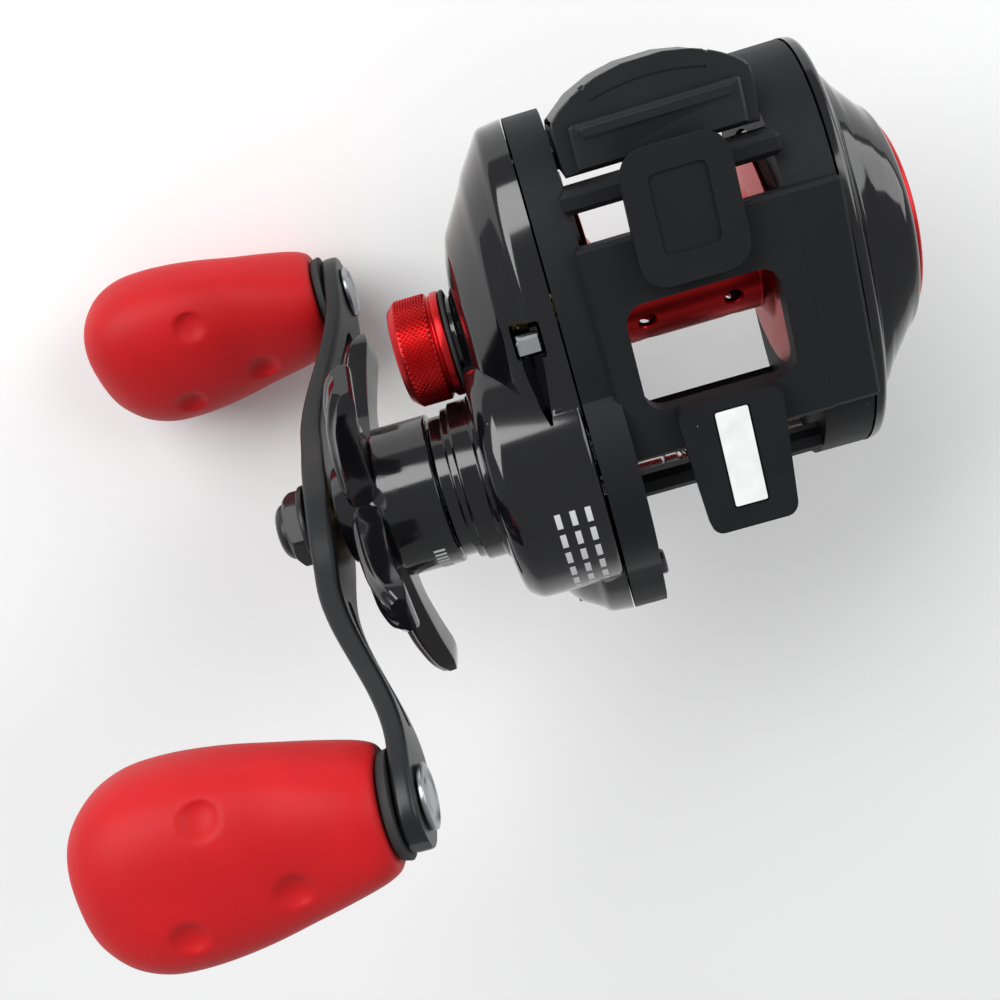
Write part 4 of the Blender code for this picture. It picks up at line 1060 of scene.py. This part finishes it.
# %% [markdown]
# ## The thumb bar
# The bar that frees the spool has a shield-shaped top. The thumb feels a tall rib with a
# thin one on it, an engraved line and two nicks in the rim. The working solid gets a
# smooth plate through the corners of its outline, and the line is cut by a bent strip.

# %% Thumb bar
THUMB_HALF = ((12.7, 24.8), (12.9, 28.0), (12.7, 31.8), (9.6, 34.2), (6.2, 35.6), (2.6, 36.3))


def thumb_plate():
    half = curve_through(THUMB_HALF, 6)
    outline = half + [(-x, y) for x, y in half[::-1]]
    return loft("plate", [[(x * size, 30 + (y - 30) * size, z) for x, y in outline]
                          for z, size in ((-10.65, 0.98), (-10.4, 1.0), (-8.75, 1.0),
                                          (-8.5, 0.992), (-8.42, 0.975))])


def engraved_line(half_width):
    """Strip that follows the rim of the shield."""
    outer = [(x, 34.2 - 0.018 * x * x) for x in (-7.5 + 0.75 * k for k in range(21))]
    outline = outer + [(x, y - half_width * 2) for x, y in outer[::-1]]
    return loft("line", [[(x, y, z) for x, y in outline] for z in (-8.75, -8.0)])


thumb = softened("thumb_bar", 0.35, 30, 3)
weld(thumb, thumb_plate(), block("thin rib", (-9.7, 29.3, -6.7), (9.7, 30.2, -6.0)))
cut(thumb, engraved_line(0.16), block("nick", (7.6, 34.55, -11.5), (8.5, 37.0, -7.5)),
    block("nick", (-8.5, 34.55, -11.5), (-7.6, 37.0, -7.5)))
dress(thumb, "thumb_bar_moulding", "thumb_bar", "black_satin", SATIN_BLACK, "thumb_bar")

# %% [markdown]
# ## The level wind
# The worm shaft's crossed groove drives the line guide to and fro. Two helices, one of each
# hand, are pressed into a fine cylinder: the groove's depth at a point depends only on how
# far it is from the nearest turn of either helix.

# %% Worm shaft with a crossed groove
WORM_HALF, WORM_RADIUS, GROOVE_PITCH = 8.6, 2.6, 4.8
GROOVE_HALF_WIDTH = GROOVE_DEEPEST = 0.62
SHAFT_STEPS, GROOVE_RINGS = 64, 220


def groove_depth(x, angle):
    """How deep the crossed groove is at a place on the shaft, in millimetres."""
    if abs(x) > WORM_HALF:
        return 0.0
    deepest = 0.0
    for hand in (-1, 1):
        turn = (x / GROOVE_PITCH - hand * angle / (2 * pi)) % 1.0
        away = min(turn, 1.0 - turn) * GROOVE_PITCH
        depth = GROOVE_DEEPEST * max(1.0 - (away / GROOVE_HALF_WIDTH) ** 4, 0.0)
        deepest = max(deepest, depth)
    return deepest


def shaft_ring(x, depth=None, radius=WORM_RADIUS):
    """Ring of the shaft; depth is a function that gives how deep the groove is there."""
    ring = []
    for i in range(SHAFT_STEPS):
        angle = 2 * pi * i / SHAFT_STEPS
        r = radius - depth(x, angle) if depth else radius
        ring.append((x, WORM[0] + r * sin(angle), WORM[1] + r * cos(angle)))
    return ring


worm_rings = [shaft_ring(x, radius=radius) for x, radius in
              ((-22.6, 1.3), (-22.4, 1.5), (-13.05, 1.5), (-13.0, 2.5))]
worm_rings += [shaft_ring(-12.9 + 25.8 * k / GROOVE_RINGS, groove_depth)
               for k in range(GROOVE_RINGS + 1)]
worm_rings += [shaft_ring(x, radius=radius) for x, radius in
               ((13.0, 2.5), (13.05, 1.3), (16.7, 1.3), (16.9, 1.1))]
dress(loft("worm", worm_rings), "worm_shaft_grooved", "worm", "steel", STEEL_WORM, "worm_shaft",
      crease=50)

# %% [markdown]
# The line runs through a hard ceramic eye. It is turned around an axis that runs fore and
# aft, so its rings are laid out by hand here.

# %% Ceramic eye
EYE_Z = -30.2
eye_profile = soft([(-26.2, 3.05), (-26.2, 2.6), (-25.4, 2.1), (-22.1, 2.1), (-21.3, 2.6),
                    (-21.3, 3.05)], 0.35, 4)
verts, faces, steps = [], [], 64
for y, radius in eye_profile:
    verts += [(radius * cos(2 * pi * i / steps), y, EYE_Z + radius * sin(2 * pi * i / steps))
              for i in range(steps)]
for level in range(len(eye_profile)):
    a, b = level * steps, (level + 1) % len(eye_profile) * steps
    faces += [(a + i, a + (i + 1) % steps, b + (i + 1) % steps, b + i) for i in range(steps)]
dress(mesh_object("eye", verts, faces), "line_eye", "line_guide", "ceramic", CERAMIC,
      "line_guide_insert")

# %% [markdown]
# ## Working parts that keep their solids
# Gears, bearings, washers and screws are already right, so they keep their solids and only
# get a finish, by name. The finish is assigned to the material slots that they came with.

# %% Finishes for the carried parts
CARRIED = {
    BRASS: ("drive_gear",),
    BRASS_PINION: ("pinion_gear", "guide_pawl"),
    STEEL_DRIVE: ("drive_shaft", "drag_plate_inner", "drag_pressure_plate", "drag_sleeve",
                  "ratchet_wheel", "anti_reverse_pawl"),
    STEEL_SPOOL: ("spool_shaft", "spool_bearing_cap_side", "spool_bearing_palm_side",
                  "pinion_bearing", "clutch_cam", "magnet_brake_plate", "yoke_spring_upper",
                  "yoke_spring_lower"),
    STEEL_WORM: ("guide_rod",),
    STEEL_DARK: ("cover_screw_1", "cover_screw_2", "cover_screw_3", "palm_cover_pin_1",
                 "palm_cover_pin_2", "one_way_bearing"),
    CARBON: ("drag_washer_inner", "drag_washer_outer"),
    NYLON: ("cast_control_shim", "level_wind_drive_gear", "worm_gear", "knob_bushing_front",
            "knob_bushing_rear", "clutch_yoke"),
}
for finish, names in CARRIED.items():
    for name in names:
        mesh = frame["nodes"][name].data
        if not mesh.materials:
            mesh.materials.append(finish)
        for index in range(len(mesh.materials)):
            mesh.materials[index] = finish
print("carried parts finished:", sum(len(names) for names in CARRIED.values()))

# %% [markdown]
# ## Floor, light and camera
# A pale floor and large soft lights show the shape without hard shadows. Gloss black is seen
# by what it mirrors, so a long light above gives it its bright bands. The camera looks down
# on the foot from slightly behind it.

# %% Stage
FLOOR_GAP = 0.4
floor_z = cad_low.z - FLOOR_GAP * MM
bpy.ops.mesh.primitive_plane_add(size=6.0, location=(0.0, 0.0, floor_z))
floor = bpy.context.object
floor.name = "floor"
floor_finish = Finish("pale_table")
floor_tone = floor_finish.noise(120.0, 2.0)
floor.data.materials.append(floor_finish.done(
    floor_finish.mix(floor_tone, (0.89, 0.89, 0.885), (0.93, 0.93, 0.925)), floor_tone * 0.1 + 0.5))


def soft_light(name, place, aim, size, power):
    data = bpy.data.lights.new(name, "AREA")
    data.shape = "RECTANGLE"
    data.size, data.size_y = size
    data.energy = power
    lamp = bpy.data.objects.new(name, data)
    lamp.location = place
    lamp.rotation_euler = (Vector(place) - Vector(aim)).to_track_quat("Z", "Y").to_euler()
    bpy.context.collection.objects.link(lamp)


MIDDLE = (cad_low + cad_high) / 2
soft_light("window", (-0.5, 0.6, 0.62), MIDDLE, (1.0, 0.5), 9.5)
soft_light("side", (0.75, 0.35, 0.5), MIDDLE, (0.5, 0.9), 5.0)
world = bpy.data.worlds.new("studio")
bpy.context.scene.world = world
world.use_nodes = True
world.node_tree.nodes["Background"].inputs["Color"].default_value = (0.97, 0.98, 1.0, 1.0)
world.node_tree.nodes["Background"].inputs["Strength"].default_value = 0.4
bpy.context.scene.view_settings.view_transform = "Standard"

camera = bpy.data.objects.new("camera", bpy.data.cameras.new("camera"))
bpy.context.collection.objects.link(camera)
camera.data.lens = 44.26
camera.data.sensor_width = 36.0
camera.data.clip_start = 0.01
camera.location = (-0.02116, 0.03537, 0.15187)
camera.rotation_euler = Euler([radians(a) for a in (-21.305, -2.078, -16.055)])
bpy.context.scene.camera = camera
print("floor at %.1f mm" % (floor_z / MM))
